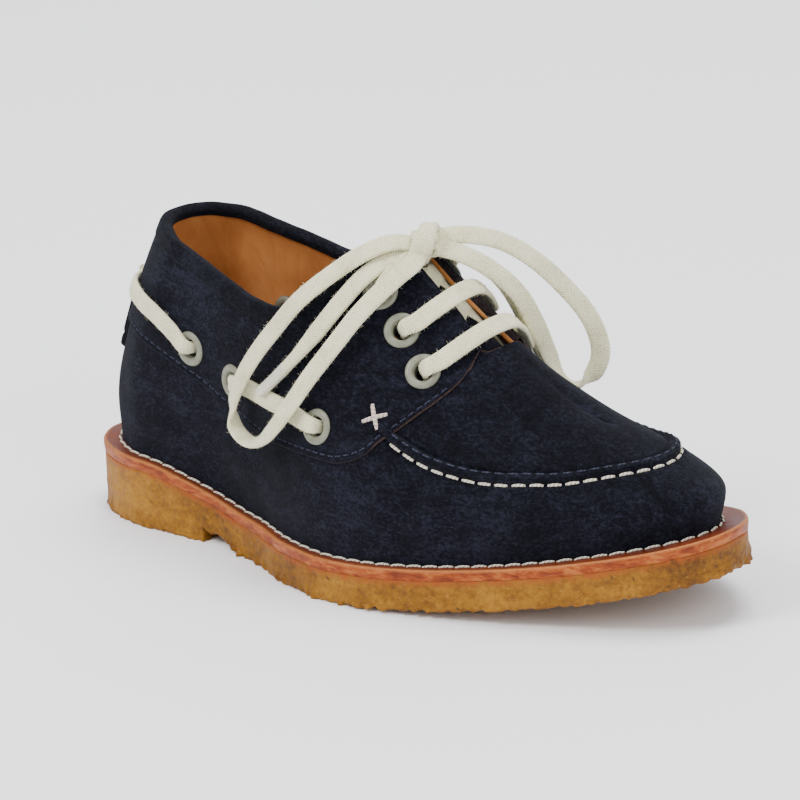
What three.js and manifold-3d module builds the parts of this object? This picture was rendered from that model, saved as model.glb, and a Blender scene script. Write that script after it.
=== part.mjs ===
// A child's boat shoe for the right foot: suede upper with a moccasin toe, laced
// over the instep, on a stitched leather welt and a crepe rubber sole with a lift
// under the heel. Millimetres, +X to the toe, +Y to the inner (medial) side, +Z up.
// The shoe is drawn from x = 0 at the back of the sole, and the group at the end
// moves it so that the origin is the middle of its underside.
import * as THREE from 'three';
import { mergeVertices } from 'three/addons/utils/BufferGeometryUtils.js';
import Module from 'manifold-3d';

const wasm = await Module();
wasm.setup();

// ---------------------------------------------------------------- dimensions

const LENGTH = 205;          // sole, back of the heel to the tip of the toe
const GAP = 0.3;             // between pieces that are glued or rest together
const WALL = 2.2;            // suede and lining together
const WELT = 3;              // leather layer that the upper is stitched to
const CREPE = 8.4;           // crepe slab under the welt
const HEEL_SEAT = 18.9;      // top of the welt at the heel
const FORE_SEAT = WELT + CREPE;
const DROP = { from: 24, to: 68 };            // where the welt falls to the forepart
const TOE_SPRING = { from: 98, rise: 13.5 };
const HEEL_BREAST = 48;      // front of the heel lift
const TIP_SIDE = 4;          // the toe's tip lies this far to the inner side
const SWING = { from: 95, to: 180 };          // where the middle line bends to it
const INSOLE = { thick: 2.6, clear: 0.7 };

// The sole's edge, a row for each section: its distance from the straight axis to
// the outer (lateral) and the inner (medial) side.
const SOLE_EDGE = [
  { x: 0, lateral: 0, medial: 0 },
  { x: 2.2, lateral: 7.6, medial: 7.6 },
  { x: 9, lateral: 14.8, medial: 14.8 },
  { x: 22, lateral: 20.2, medial: 20.4 },
  { x: 38, lateral: 21.2, medial: 21 },
  { x: 54, lateral: 21.6, medial: 19.8 },
  { x: 70, lateral: 26.2, medial: 19.8 },
  { x: 86, lateral: 34, medial: 22.8 },
  { x: 102, lateral: 38.8, medial: 27.4 },
  { x: 118, lateral: 39.2, medial: 31.8 },
  { x: 134, lateral: 36.4, medial: 34.6 },
  { x: 150, lateral: 32.2, medial: 35.4 },
  { x: 166, lateral: 27.2, medial: 34.2 },
  { x: 180, lateral: 21.8, medial: 31.2 },
  { x: 191.5, lateral: 16, medial: 25.8 },
  { x: 199.5, lateral: 9.8, medial: 18.4 },
  { x: 203.6, lateral: 3.4, medial: 11.4 },
  { x: LENGTH, lateral: -TIP_SIDE, medial: TIP_SIDE },
];

// The upper's cross-sections. welt is how much of the welt shows beyond it; wide is
// how far its widest point lies inside the sole's edge (negative: it overhangs), and
// wideUp the height of that point over the welt; edge is the half-width at the
// shoulder, which is the topline at the heel and the moccasin ridge at the toe, at
// the height edgeZ; top is the height of the middle line.
const UPPER = [
  { x: 0, welt: 5.4, wideOut: 5.2, wideIn: 5.2, wideUp: 10,
    edgeOut: 12.4, edgeIn: 13.4, edgeZ: 82, top: 87 },
  { x: 24, welt: 3.4, wideOut: 2.2, wideIn: 2, wideUp: 11,
    edgeOut: 13, edgeIn: 14, edgeZ: 81.5, top: 87 },
  { x: 45, welt: 3, wideOut: 1.4, wideIn: 0, wideUp: 13,
    edgeOut: 16.4, edgeIn: 16.2, edgeZ: 77.3, top: 87 },
  { x: 60, welt: 3, wideOut: 1.2, wideIn: -1.6, wideUp: 14,
    edgeOut: 19.2, edgeIn: 18.6, edgeZ: 74, top: 88.5 },
  { x: 75, welt: 3, wideOut: 1.6, wideIn: -2.2, wideUp: 14,
    edgeOut: 21.4, edgeIn: 20.4, edgeZ: 70.5, top: 90.5 },
  { x: 90, welt: 3.2, wideOut: 2.6, wideIn: -0.8, wideUp: 13,
    edgeOut: 23.8, edgeIn: 22, edgeZ: 65.5, top: 91 },
  { x: 105, welt: 3.4, wideOut: 2.8, wideIn: 1, wideUp: 11.5,
    edgeOut: 27, edgeIn: 23.4, edgeZ: 56.5, top: 88 },
  { x: 120, welt: 3.4, wideOut: 2.6, wideIn: 2.2, wideUp: 10,
    edgeOut: 29.4, edgeIn: 24.4, edgeZ: 46, top: 76.5 },
  { x: 135, welt: 3.4, wideOut: 2.4, wideIn: 2.6, wideUp: 9.5,
    edgeOut: 30, edgeIn: 24, edgeZ: 39.6, top: 64.5 },
  { x: 150, welt: 3.6, wideOut: 2.4, wideIn: 2.8, wideUp: 9.5,
    edgeOut: 28.6, edgeIn: 23, edgeZ: 37.4, top: 54.5 },
  { x: 164, welt: 4.4, wideOut: 2.8, wideIn: 3.2, wideUp: 9.5,
    edgeOut: 26.2, edgeIn: 21.6, edgeZ: 37.4, top: 47.4 },
  { x: 184, welt: 6, wideOut: 4, wideIn: 4.6, wideUp: 9,
    edgeOut: 25.6, edgeIn: 20.6, edgeZ: 40, top: 42.4 },
  { x: LENGTH, welt: 7.2, wideOut: 5.5, wideIn: 5.5, wideUp: 8,
    edgeOut: 25.6, edgeIn: 20.6, edgeZ: 40, top: 41 },
];
const EDGE_ENDS = { back: 25, front: 185 };    // where the shoulder line ends
const CROWN_ENDS = { back: 30, front: 166 };     // where the middle line ends
const HEEL_ROUND = 24;       // sections behind this one fan round the heel
const TOE_ROUND = 164;       // sections before this one fan round the toe
const SLIT = 0.4;            // half-width left where the two sides meet

// The topline from the side, from the back of the collar to the top of the facing.
const TOPLINE = [
  { x: -5, z: 82.2 },
  { x: 24, z: 82.2 },
  { x: 34, z: 81 },
  { x: 47, z: 77.8 },
  { x: 60, z: 74 },
  { x: 70, z: 71.4 },
  { x: 78, z: 70.6 },
  { x: 86, z: 72.6 },
  { x: 93, z: 77 },
  { x: 99, z: 82.2 },
  { x: 104, z: 86 },
  { x: 107, z: 89 },
];
const TOPLINE_TILT = 0.045;  // the topline stands higher on the inner side

// The throat between the facings, from above: its half-width down the instep.
const THROAT = [
  { x: 92, half: 4.6 },
  { x: 108, half: 4.2 },
  { x: 120, half: 4.2 },
  { x: 126, half: 4.8 },
  { x: 130, half: 6.2 },
  { x: 133.4, half: 7.4 },
  { x: 135.6, half: 6.2 },
  { x: 136.6, half: 3.2 },
];

// Eyelets: three up each facing, and three along each side of the collar.
const EYELET = { flange: 4.7, barrel: 2.45, bore: 2.05, thick: 0.6, stand: 0.9 };
const FACING_EYELETS = [
  { row: 'low', x: 124.4, z: 58.9 },
  { row: 'mid', x: 116, z: 67.9 },
  { row: 'top', x: 108, z: 76.3 },
];
const SIDE_EYELETS = [
  { row: 'rear', x: 47.4, z: 53.4 },
  { row: 'middle', x: 64.5, z: 48 },
  { row: 'front', x: 100.9, z: 44.4 },
];

const TONGUE = { from: 146, to: 97, thick: 2, half: 13.5, under: 1.8 };
const TAB = { low: 42, high: 59.5, rows: 0.62, thick: 2.1, stand: 0.5 };

// The lace is woven cotton, 5 mm wide and 1.6 mm thick. Its solids are round tubes of
// about that section. off is the distance of the tube's middle from the form.
const LACE = { radius: 1.2, sides: 8, step: 6.5 };
const ON_EYELET = 3.1;       // off the form, to clear an eyelet's flange
const ON_SUEDE = 1.8;        // off the form, lying on the leather
const LIFTED = 2.5;          // off the form, beside an eyelet and round the heel
const BARS = [
  { row: 'low', x: 124.4, middleX: 132.8, off: 3.2 },
  { row: 'mid', x: 116, middleX: 123, off: 3.2 },
];
const HEEL_LACE = [          // up from the rear eyelet and round the back of the heel
  { x: 47.4, z: 53.4, off: ON_EYELET },
  { x: 41.5, z: 57.4, off: LIFTED },
  { x: 34, z: 61, off: LIFTED },
  { x: 25, z: 63, off: LIFTED },
  { x: 17, z: 63.6, off: LIFTED },
];
const HEEL_LACE_BACK = 63.8; // its height at the very back
const SIDE_LACE = [          // along the side, between the middle and front eyelets
  { x: 64.5, z: 48, off: ON_EYELET },
  { x: 71, z: 48.4, off: LIFTED },
  { x: 79, z: 48, off: ON_SUEDE },
  { x: 87, z: 47, off: ON_SUEDE },
  { x: 94.5, z: 45.8, off: LIFTED },
  { x: 100.9, z: 44.4, off: ON_EYELET },
];
const KNOT = { place: [112.6, -1, 87], size: [5.6, 4.8, 4.2] };

// The bow, from the knot and back to it. These routes are set by hand.
const LOOP_LATERAL = [
  [107.4, -7.6, 88.3], [102.7, -13.6, 86.2], [96.3, -19.5, 81], [89.8, -24.9, 74.6],
  [84.5, -28.6, 67.3], [79, -30.8, 59.9], [73.5, -31, 52], [70, -30.6, 45], [70.3, -30.6, 39],
  [76.4, -32.6, 36.4], [85.8, -36, 40.4], [93.6, -36, 49], [99.2, -33, 57.8], [104.2, -28, 66.2],
  [107.8, -23.2, 72.8], [111, -18, 77.9], [113.6, -12.8, 81.8], [114.6, -8, 84],
];
const LOOP_MEDIAL = [
  [115.6, 4.8, 88.2], [120.5, 9, 88], [125.4, 15, 85.4], [130.1, 21, 80.1], [134.7, 27, 72.2],
  [138.9, 31, 64.4], [140.9, 33, 57.7], [141.4, 33, 52.3], [139.6, 31.5, 47.2],
  [136.3, 29, 44.5], [134.2, 26.2, 47], [132.4, 23.6, 53.2], [131.6, 19.6, 62.8],
  [130.2, 15.2, 71.6], [127.4, 10.2, 78.2], [123.6, 6.6, 82.2], [119.4, 3.4, 84.8],
];
const END_LATERAL = [
  [107.6, -9.8, 84.2], [104.4, -15.8, 80.8], [100.6, -21.4, 74.6], [96.2, -26, 67.4],
  [91.2, -29.2, 60.6], [85.6, -30.9, 54.6], [80.4, -31.2, 50],
];
const END_MEDIAL = [
  [114.8, 6, 84.4], [118, 9.6, 81.6], [121, 13.4, 76.9], [123.6, 17.4, 70.9], [124.9, 21.7, 62.8],
  [125.4, 25.6, 54.8], [126.4, 28.8, 48.6],
];

// ------------------------------------------------------------------- helpers

const clamp = (value, low, high) => Math.min(high, Math.max(low, value));
const ease = (share) => {
  const s = clamp(share, 0, 1);
  return s * s * (3 - 2 * s);
};
const mix = (a, b, share) => a + (b - a) * share;

// A smooth curve through one column of a table, with no overshoot.
function column(table, name, x) {
  const last = table.length - 1;
  if (x <= table[0].x) return table[0][name];
  if (x >= table[last].x) return table[last][name];
  let i = 0;
  while (x > table[i + 1].x) i += 1;
  const rise = (j) => (table[j + 1][name] - table[j][name]) / (table[j + 1].x - table[j].x);
  const slope = (j) => {
    if (j === 0 || j === last) return 0;
    const before = rise(j - 1);
    const after = rise(j);
    return before * after <= 0 ? 0 : (2 * before * after) / (before + after);
  };
  const width = table[i + 1].x - table[i].x;
  const t = (x - table[i].x) / width;
  return hermite(table[i][name], slope(i) * width, table[i + 1][name], slope(i + 1) * width, t);
}

function hermite(from, leave, to, arrive, t) {
  const t2 = t * t;
  const t3 = t2 * t;
  return from * (2 * t3 - 3 * t2 + 1) + leave * (t3 - 2 * t2 + t)
    + to * (3 * t2 - 2 * t3) + arrive * (t3 - t2);
}

// The top of the welt: level under the heel, down to the forepart, up to the toe.
function weltTop(x) {
  const fall = ease((x - DROP.from) / (DROP.to - DROP.from));
  const spring = clamp((x - TOE_SPRING.from) / (LENGTH - TOE_SPRING.from), 0, 1);
  return mix(HEEL_SEAT, FORE_SEAT, fall) + TOE_SPRING.rise * spring * spring;
}

// The shoe's middle line in plan, which swings to the inner side at the toe.
const middle = (x) => TIP_SIDE * ease((x - SWING.from) / (SWING.to - SWING.from));

// The sole's edge at the row number t (0 at the heel, the last row at the toe), as
// a smooth curve that crosses the axis squarely at both ends.
const ROWS = SOLE_EDGE.length - 1;
function soleEdge(t, side) {
  const name = side < 0 ? 'lateral' : 'medial';
  const other = side < 0 ? 'medial' : 'lateral';
  const point = (i) => {
    if (i < 0) return [SOLE_EDGE[-i].x, -side * SOLE_EDGE[-i][other]];
    if (i > ROWS) return [SOLE_EDGE[2 * ROWS - i].x, -side * SOLE_EDGE[2 * ROWS - i][other]];
    return [SOLE_EDGE[i].x, side * SOLE_EDGE[i][name]];
  };
  const i = Math.min(Math.floor(t), ROWS - 1);
  const [before, from, to, after] = [point(i - 1), point(i), point(i + 1), point(i + 2)];
  return [0, 1].map((k) => hermite(
    from[k], (to[k] - before[k]) / 2, to[k], (after[k] - from[k]) / 2, t - i));
}

// ------------------------------------------------------- the form of the upper

// A point of the sole's edge moved towards the inside by a distance in plan.
function inset(t, side, distance) {
  const step = 0.02;
  const [x, y] = soleEdge(t, side);
  const ahead = soleEdge(Math.min(t + step, ROWS), side);
  const behind = soleEdge(Math.max(t - step, 0), side);
  const along = new THREE.Vector2(ahead[0] - behind[0], ahead[1] - behind[1]).normalize();
  return [x + side * along.y * distance, y - side * along.x * distance];
}

// The shoulder or the middle line: the sole's edge drawn in to its own ends and
// half-widths, and round at the heel and the toe as the sole is.
function drawnIn(t, side, ends, half) {
  const [x, y] = soleEdge(t, side);
  const widest = clamp(x, HEEL_ROUND, TOE_ROUND);
  const name = side < 0 ? 'lateral' : 'medial';
  const full = column(SOLE_EDGE, name, widest) - side * middle(widest);
  const share = clamp((side * (y - middle(x))) / full, 0, 1);
  const heel = Math.pow(clamp(1 - x / 70, 0, 1), 1.25);
  const toe = Math.pow(clamp((x - 120) / (LENGTH - 120), 0, 1), 1.25);
  const moved = x + ends.back * heel - (LENGTH - ends.front) * toe;
  const roundness = x > HEEL_ROUND && x < TOE_ROUND ? 1 : share;
  return [moved, middle(moved) + side * half(moved) * roundness];
}

// The form at row t on one side: level runs from 0 at the feather line over the
// belly (1) and the shoulder (2) to the middle line (3).
function form(t, side, level) {
  const [x] = soleEdge(t, side);
  const col = (name, at = x) => column(UPPER, name, at);
  const widest = side < 0 ? 'wideOut' : 'wideIn';
  const edge = side < 0 ? 'edgeOut' : 'edgeIn';
  const feather = inset(t, side, col('welt'));
  feather.push(weltTop(feather[0]) + GAP);
  const wide = inset(t, side, col(widest));
  wide.push(weltTop(wide[0]) + GAP + col('wideUp'));
  const shoulder = drawnIn(t, side, EDGE_ENDS, (at) => col(edge, at));
  shoulder.push(col('edgeZ', shoulder[0]));
  const crown = drawnIn(t, side, CROWN_ENDS, () => SLIT);
  crown.push(col('top', crown[0]));
  const rise = shoulder[2] - wide[2];
  const upright = [0, 0, rise * 0.8];
  const across = [0, 1, 2].map((k) => 0.5 * (crown[k] - wide[k]));
  const flat = [crown[0] - shoulder[0], crown[1] - shoulder[1], 0];
  if (level <= 1) {
    const leave = [0, 1, 2].map((k) => (wide[k] - feather[k]) * 1.4);
    const arrive = [0, 0, wide[2] - feather[2]];
    return [0, 1, 2].map((k) => hermite(feather[k], leave[k], wide[k], arrive[k], level));
  }
  if (level <= 2) {
    return [0, 1, 2].map((k) => hermite(wide[k], upright[k], shoulder[k], across[k], level - 1));
  }
  return [0, 1, 2].map((k) => hermite(shoulder[k], across[k], crown[k], flat[k], level - 2));
}

// The outward normal of the form.
function formNormal(t, side, level) {
  const step = 0.03;
  const at = (a, b) => new THREE.Vector3(...form(clamp(a, 0, ROWS), side, clamp(b, 0, 3)));
  const along = at(t + step, level).sub(at(t - step, level));
  const up = at(t, level + step).sub(at(t, level - step));
  return along.cross(up).multiplyScalar(-side).normalize();
}

// A point at a distance outside the form (inside it when negative).
function offForm(t, side, level, distance) {
  return new THREE.Vector3(...form(t, side, level))
    .addScaledVector(formNormal(t, side, level), distance);
}

// The row and level of the form's point with a given x and z, by halving steps.
function findOnForm(side, x, z) {
  let best = { t: ROWS / 2, level: 2, miss: Infinity };
  let reach = { t: ROWS / 2, level: 1 };
  while (reach.t > 0.002) {
    const centre = { ...best };
    for (let i = -4; i <= 4; i += 1) {
      for (let j = -4; j <= 4; j += 1) {
        const t = clamp(centre.t + (i * reach.t) / 4, 0, ROWS);
        const level = clamp(centre.level + (j * reach.level) / 4, 0, 3);
        const [px, , pz] = form(t, side, level);
        const miss = Math.hypot(px - x, pz - z);
        if (miss < best.miss) best = { t, level, miss };
      }
    }
    reach = { t: reach.t * 0.6, level: reach.level * 0.6 };
  }
  return best;
}

// ------------------------------------------------------------ solids from rings

// Rings run from the heel along the outer side to the toe and back along the inner
// side. A solid joins ring to ring and closes the first and last ones across.
const STEPS = 2 * ROWS;      // two steps a row
const RING = 2 * STEPS;
const ringOf = (pointAt) => Array.from({ length: RING }, (_, j) => {
  const t = (j <= STEPS ? j : RING - j) / 2;
  const side = j <= STEPS ? -1 : 1;
  return new THREE.Vector3(...pointAt(t, side));
});

function solidOf(rings) {
  const positions = rings.flat().flatMap((p) => [p.x, p.y, p.z]);
  const faces = [];
  const quad = (a, b, c, d) => faces.push(a, b, c, a, c, d);
  for (let i = 0; i + 1 < rings.length; i += 1) {
    for (let j = 0; j < RING; j += 1) {
      const k = (j + 1) % RING;
      quad(i * RING + j, i * RING + k, (i + 1) * RING + k, (i + 1) * RING + j);
    }
  }
  const top = (rings.length - 1) * RING;
  for (let j = 0; j < STEPS; j += 1) {
    const far = (RING - j) % RING;
    const next = RING - j - 1;
    if (j === 0) {
      faces.push(0, next, 1, top, top + 1, top + next);
    } else if (j === STEPS - 1) {
      faces.push(j, far, j + 1, top + j, top + j + 1, top + far);
    } else {
      quad(j, far, next, j + 1);
      quad(top + j, top + j + 1, top + next, top + far);
    }
  }
  const geometry = new THREE.BufferGeometry();
  geometry.setAttribute('position', new THREE.Float32BufferAttribute(positions, 3));
  geometry.setIndex(faces);
  return geometry;
}

function toManifold(geometry) {
  const bare = geometry.clone();
  bare.deleteAttribute('normal');
  bare.deleteAttribute('uv');
  const merged = mergeVertices(bare, 1e-4);
  return new wasm.Manifold(new wasm.Mesh({
    numProp: 3,
    vertProperties: Float32Array.from(merged.attributes.position.array),
    triVerts: Uint32Array.from(merged.index.array),
  }));
}

function toGeometry(solid) {
  const mesh = solid.getMesh();
  const geometry = new THREE.BufferGeometry();
  geometry.setAttribute('position', new THREE.BufferAttribute(mesh.vertProperties, 3));
  geometry.setIndex(new THREE.BufferAttribute(mesh.triVerts, 1));
  geometry.computeVertexNormals();
  return geometry;
}

// A plate that follows the sole: its edge drawn in, between two heights.
function plate(edgeIn, low, high) {
  const ring = (height) => ringOf((t, side) => {
    const [x, y] = inset(t, side, edgeIn(soleEdge(t, side)[0]));
    return [x, y, height(x)];
  });
  return solidOf([ring(low), ring(high)]);
}

// ------------------------------------------------------------------ sole parts

function outsole() {
  const under = (x) => Math.max(0, weltTop(x) - WELT - CREPE);
  return plate(() => 0, under, (x) => weltTop(x) - WELT - GAP);
}

function heelLift() {
  const bottom = () => 0;
  const top = (x) => weltTop(x) - WELT - CREPE - GAP;
  const whole = plate(() => 0, bottom, (x) => Math.max(top(x), 0.5));
  const keep = new THREE.BoxGeometry(2 * HEEL_BREAST, LENGTH, LENGTH);
  return toGeometry(toManifold(whole).intersect(toManifold(keep)));
}

const welt = () => plate(() => 0, (x) => weltTop(x) - WELT, weltTop);

function insole() {
  const edgeIn = (x) => column(UPPER, 'welt', x) + WALL + INSOLE.clear;
  return plate(edgeIn, (x) => weltTop(x) + GAP, (x) => weltTop(x) + GAP + INSOLE.thick);
}

// ----------------------------------------------------------------------- upper

const LEVELS = [0, 0.35, 0.7, 1, 1.15, 1.3, 1.45, 1.6, 1.75, 1.88, 2, 2.15, 2.3, 2.47, 2.64, 2.82, 3];

// The closed form, moved outward or inward all over.
function formSolid(distance, belowFeather) {
  const rings = LEVELS.map((level) => ringOf((t, side) => {
    const p = offForm(t, side, level, distance);
    return [p.x, p.y, p.z];
  }));
  const foot = rings[0].map((p) => new THREE.Vector3(p.x, p.y, p.z - belowFeather));
  return toManifold(solidOf(belowFeather > 0 ? [foot, ...rings] : rings));
}

// Everything above the topline, from side to side.
function collarCutter() {
  const width = 120;
  const high = 140;
  const shape = new THREE.Shape(TOPLINE.map(({ x, z }) => new THREE.Vector2(x, z)));
  shape.lineTo(TOPLINE.at(-1).x, high);
  shape.lineTo(TOPLINE[0].x, high);
  const geometry = new THREE.ExtrudeGeometry(shape, { depth: width, bevelEnabled: false });
  geometry.rotateX(Math.PI / 2);
  geometry.translate(0, width / 2, 0);
  const tilt = new THREE.Matrix4().makeShear(0, 0, 0, TOPLINE_TILT, 0, 0);
  return toManifold(geometry.applyMatrix4(tilt));
}

// The slot between the facings, which the tongue closes from below.
function throatCutter() {
  const low = 48;
  const outer = THROAT.map(({ x, half }) => new THREE.Vector2(x, middle(x) - half));
  const inner = THROAT.map(({ x, half }) => new THREE.Vector2(x, middle(x) + half)).reverse();
  const shape = new THREE.Shape([...outer, ...inner]);
  const geometry = new THREE.ExtrudeGeometry(shape, { depth: 80, bevelEnabled: false });
  geometry.translate(0, 0, low);
  return toManifold(geometry);
}

// Every eyelet's place on the form, with the direction that it faces.
function eyelets() {
  return [...FACING_EYELETS, ...SIDE_EYELETS].flatMap(({ row, x, z }) => [-1, 1].map((side) => {
    const { t, level } = findOnForm(side, x, z);
    const kind = FACING_EYELETS.some((eyelet) => eyelet.row === row) ? 'facing' : 'side';
    return {
      name: `eyelet_${kind}_${row}_${side < 0 ? 'lateral' : 'medial'}`,
      place: new THREE.Vector3(...form(t, side, level)),
      facing: formNormal(t, side, level),
    };
  }));
}

function turnTo(object, direction) {
  object.quaternion.setFromUnitVectors(new THREE.Vector3(0, 1, 0), direction);
  return object;
}

function eyeletHole({ place, facing }) {
  const hole = new THREE.CylinderGeometry(EYELET.barrel + GAP, EYELET.barrel + GAP, 14, 16);
  const holder = turnTo(new THREE.Object3D(), facing);
  holder.position.copy(place);
  holder.updateMatrix();
  return toManifold(hole.applyMatrix4(holder.matrix));
}

function upper(places) {
  let solid = formSolid(0, 0).subtract(formSolid(-WALL, 8));
  solid = solid.subtract(collarCutter()).subtract(throatCutter());
  for (const place of places) solid = solid.subtract(eyeletHole(place));
  return toGeometry(solid);
}

// An eyelet: a dished flange outside, a barrel and a smaller rolled rim inside.
function eyelet() {
  const { flange, barrel, bore, thick, stand } = EYELET;
  const back = -(WALL + 0.7);
  const profile = [
    [bore, back - thick], [flange - 1.3, back - thick], [flange - 1.3, back], [barrel, back],
    [barrel, GAP], [flange, GAP], [flange - 0.9, GAP + stand], [bore, GAP + 0.5 * stand],
    [bore, back - thick],
  ].map(([r, y]) => new THREE.Vector2(r, y));
  return new THREE.LatheGeometry(profile, 10);
}

// ---------------------------------------------------------------------- tongue

// The tongue runs under the facings at a set depth inside the form, from below the
// vamp to just past the facings' tops.
function tongue() {
  const across = 8;
  const length = 12;
  const depth = -(WALL + TONGUE.under);
  const grid = (sink) => Array.from({ length: length + 1 }, (_, i) => {
    const x = mix(TONGUE.from, TONGUE.to, i / length);
    return Array.from({ length: across + 1 }, (_, j) => {
      const side = j < across / 2 ? -1 : 1;
      const share = Math.abs(j - across / 2) / (across / 2);
      return acrossInstep(x, side, share * TONGUE.half, depth - sink);
    });
  });
  return slab(grid(0), grid(TONGUE.thick));
}

// The point off the form at x, a given distance from the middle line in plan.
function acrossInstep(x, side, away, distance) {
  let low = 1.2;
  let high = 3;
  let t = 0;
  for (let i = 0; i < 24; i += 1) {
    const level = (low + high) / 2;
    t = rowAt(side, level, x);
    const y = form(t, side, level)[1];
    if (side * (y - middle(x)) > away) low = level;
    else high = level;
  }
  return offForm(t, side, (low + high) / 2, distance);
}

function rowAt(side, level, x) {
  let low = 2;
  let high = ROWS;
  for (let i = 0; i < 24; i += 1) {
    const t = (low + high) / 2;
    if (form(t, side, level)[0] < x) low = t;
    else high = t;
  }
  return (low + high) / 2;
}

// A closed sheet between two grids of points, the first one on the outside.
function slab(outer, inner) {
  const rows = outer.length;
  const columns = outer[0].length;
  const positions = [...outer.flat(), ...inner.flat()].flatMap((p) => [p.x, p.y, p.z]);
  const faces = [];
  const at = (i, j, layer) => layer * rows * columns + i * columns + j;
  const quad = (a, b, c, d) => faces.push(a, b, c, a, c, d);
  for (let i = 0; i + 1 < rows; i += 1) {
    for (let j = 0; j + 1 < columns; j += 1) {
      quad(at(i, j, 0), at(i, j + 1, 0), at(i + 1, j + 1, 0), at(i + 1, j, 0));
      quad(at(i, j, 1), at(i + 1, j, 1), at(i + 1, j + 1, 1), at(i, j + 1, 1));
    }
    quad(at(i, 0, 0), at(i + 1, 0, 0), at(i + 1, 0, 1), at(i, 0, 1));
    quad(at(i, columns - 1, 0), at(i, columns - 1, 1), at(i + 1, columns - 1, 1), at(i + 1, columns - 1, 0));
  }
  for (let j = 0; j + 1 < columns; j += 1) {
    quad(at(0, j, 0), at(0, j, 1), at(0, j + 1, 1), at(0, j + 1, 0));
    quad(at(rows - 1, j, 0), at(rows - 1, j + 1, 0), at(rows - 1, j + 1, 1), at(rows - 1, j, 1));
  }
  const geometry = new THREE.BufferGeometry();
  geometry.setAttribute('position', new THREE.Float32BufferAttribute(positions, 3));
  geometry.setIndex(faces);
  return geometry;
}

// ------------------------------------------------------------------ heel tab

// A short strap sewn up the back of the heel, which keeps the lace above it.
function heelTab() {
  const grid = (distance) => Array.from({ length: 4 }, (_, i) => {
    const z = mix(TAB.high, TAB.low, i / 3);
    return [-1, -0.5, 0, 0.5, 1].map((share) => {
      const side = share < 0 ? -1 : 1;
      const t = Math.abs(share) * TAB.rows;
      return offForm(t, side, levelAt(t, side, z), distance);
    });
  });
  return slab(grid(TAB.stand + TAB.thick), grid(TAB.stand));
}

// The level of the form at row t that has a given height.
function levelAt(t, side, z) {
  let low = 0;
  let high = 2;
  for (let i = 0; i < 20; i += 1) {
    const level = (low + high) / 2;
    if (form(t, side, level)[2] < z) low = level;
    else high = level;
  }
  return (low + high) / 2;
}

// ------------------------------------------------------------------------ lace

// A tube through points, stepping about every two or three diameters.
function laceTube(points) {
  const path = new THREE.CatmullRomCurve3(points, false, 'centripetal');
  const section = new THREE.Shape(Array.from({ length: LACE.sides }, (_, i) => {
    const angle = (2 * Math.PI * i) / LACE.sides;
    return new THREE.Vector2(LACE.radius * Math.cos(angle), LACE.radius * Math.sin(angle));
  }));
  const steps = Math.ceil(path.getLength() / LACE.step);
  return new THREE.ExtrudeGeometry(section, { steps, extrudePath: path, curveSegments: 1 });
}

const overForm = (side) => ({ x, z, off }) => {
  const { t, level } = findOnForm(side, x, z);
  return offForm(t, side, level, off);
};

// A bar over the throat, from one eyelet to the other, bowed to the toe.
function laceBar({ row, x, middleX, off }) {
  const { z } = FACING_EYELETS.find((eyelet) => eyelet.row === row);
  const half = Math.abs(overForm(-1)({ x, z, off }).y - middle(x));
  const shares = [-0.97, -0.75, -0.5, -0.25, 0, 0.25, 0.5, 0.75, 0.97];
  return laceTube(shares.map((share) => {
    const at = mix(middleX, x, share * share);
    const side = share < 0 ? -1 : 1;
    return acrossInstep(at, side, Math.max(Math.abs(share) * half, 2 * SLIT), off);
  }));
}

function heelLace() {
  const halfWay = (side) => HEEL_LACE.map(overForm(side));
  const level = levelAt(0, -1, HEEL_LACE_BACK);
  return laceTube([...halfWay(-1), offForm(0, -1, level, LIFTED), ...halfWay(1).reverse()]);
}

const sideLace = (side) => laceTube(SIDE_LACE.map(overForm(side)));

const route = (points) => laceTube(points.map((p) => new THREE.Vector3(...p)));

function knot() {
  const geometry = new THREE.SphereGeometry(1, 10, 7);
  return geometry.scale(...KNOT.size).translate(...KNOT.place);
}

// -------------------------------------------------------------------- assembly

const SUEDE = { color: 0x25273a, roughness: 0.95, metalness: 0 };
const LEATHER = { color: 0xa8572c, roughness: 0.7, metalness: 0 };
const CREPE_LOOK = { color: 0xa87a3c, roughness: 0.85, metalness: 0 };
const LINING = { color: 0xb9733d, roughness: 0.75, metalness: 0 };
const ENAMEL = { color: 0xb9b8ac, roughness: 0.4, metalness: 0.2 };
const COTTON = { color: 0xd2ceb9, roughness: 0.95, metalness: 0 };

const shoe = new THREE.Group();

function add(name, geometry, look) {
  const mesh = new THREE.Mesh(geometry, new THREE.MeshStandardMaterial(look));
  mesh.name = name;
  shoe.add(mesh);
  return mesh;
}

const places = eyelets();
const sole = add('outsole', outsole(), CREPE_LOOK);
add('heel_lift', heelLift(), CREPE_LOOK);
add('welt', welt(), LEATHER);
add('insole', insole(), LINING);
add('upper', upper(places), SUEDE);
add('tongue', tongue(), SUEDE);
for (const spot of places) {
  const ring = add(spot.name, eyelet(), ENAMEL);
  turnTo(ring, spot.facing);
  ring.position.copy(spot.place);
}
add('heel_tab', heelTab(), SUEDE);
for (const bar of BARS) add(`lace_bar_${bar.row}`, laceBar(bar), COTTON);
add('lace_heel', heelLace(), COTTON);
add('lace_side_lateral', sideLace(-1), COTTON);
add('lace_side_medial', sideLace(1), COTTON);
add('lace_knot', knot(), COTTON);
add('lace_loop_lateral', route(LOOP_LATERAL), COTTON);
add('lace_loop_medial', route(LOOP_MEDIAL), COTTON);
add('lace_end_lateral', route(END_LATERAL), COTTON);
add('lace_end_medial', route(END_MEDIAL), COTTON);

const middleOfSole = new THREE.Box3().setFromObject(sole).getCenter(new THREE.Vector3());
shoe.position.set(-middleOfSole.x, -middleOfSole.y, 0);
const object = new THREE.Group();
object.add(shoe);
export default object;
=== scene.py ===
"""A child's suede boat shoe on a pale floor: the looks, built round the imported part."""
import math

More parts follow.
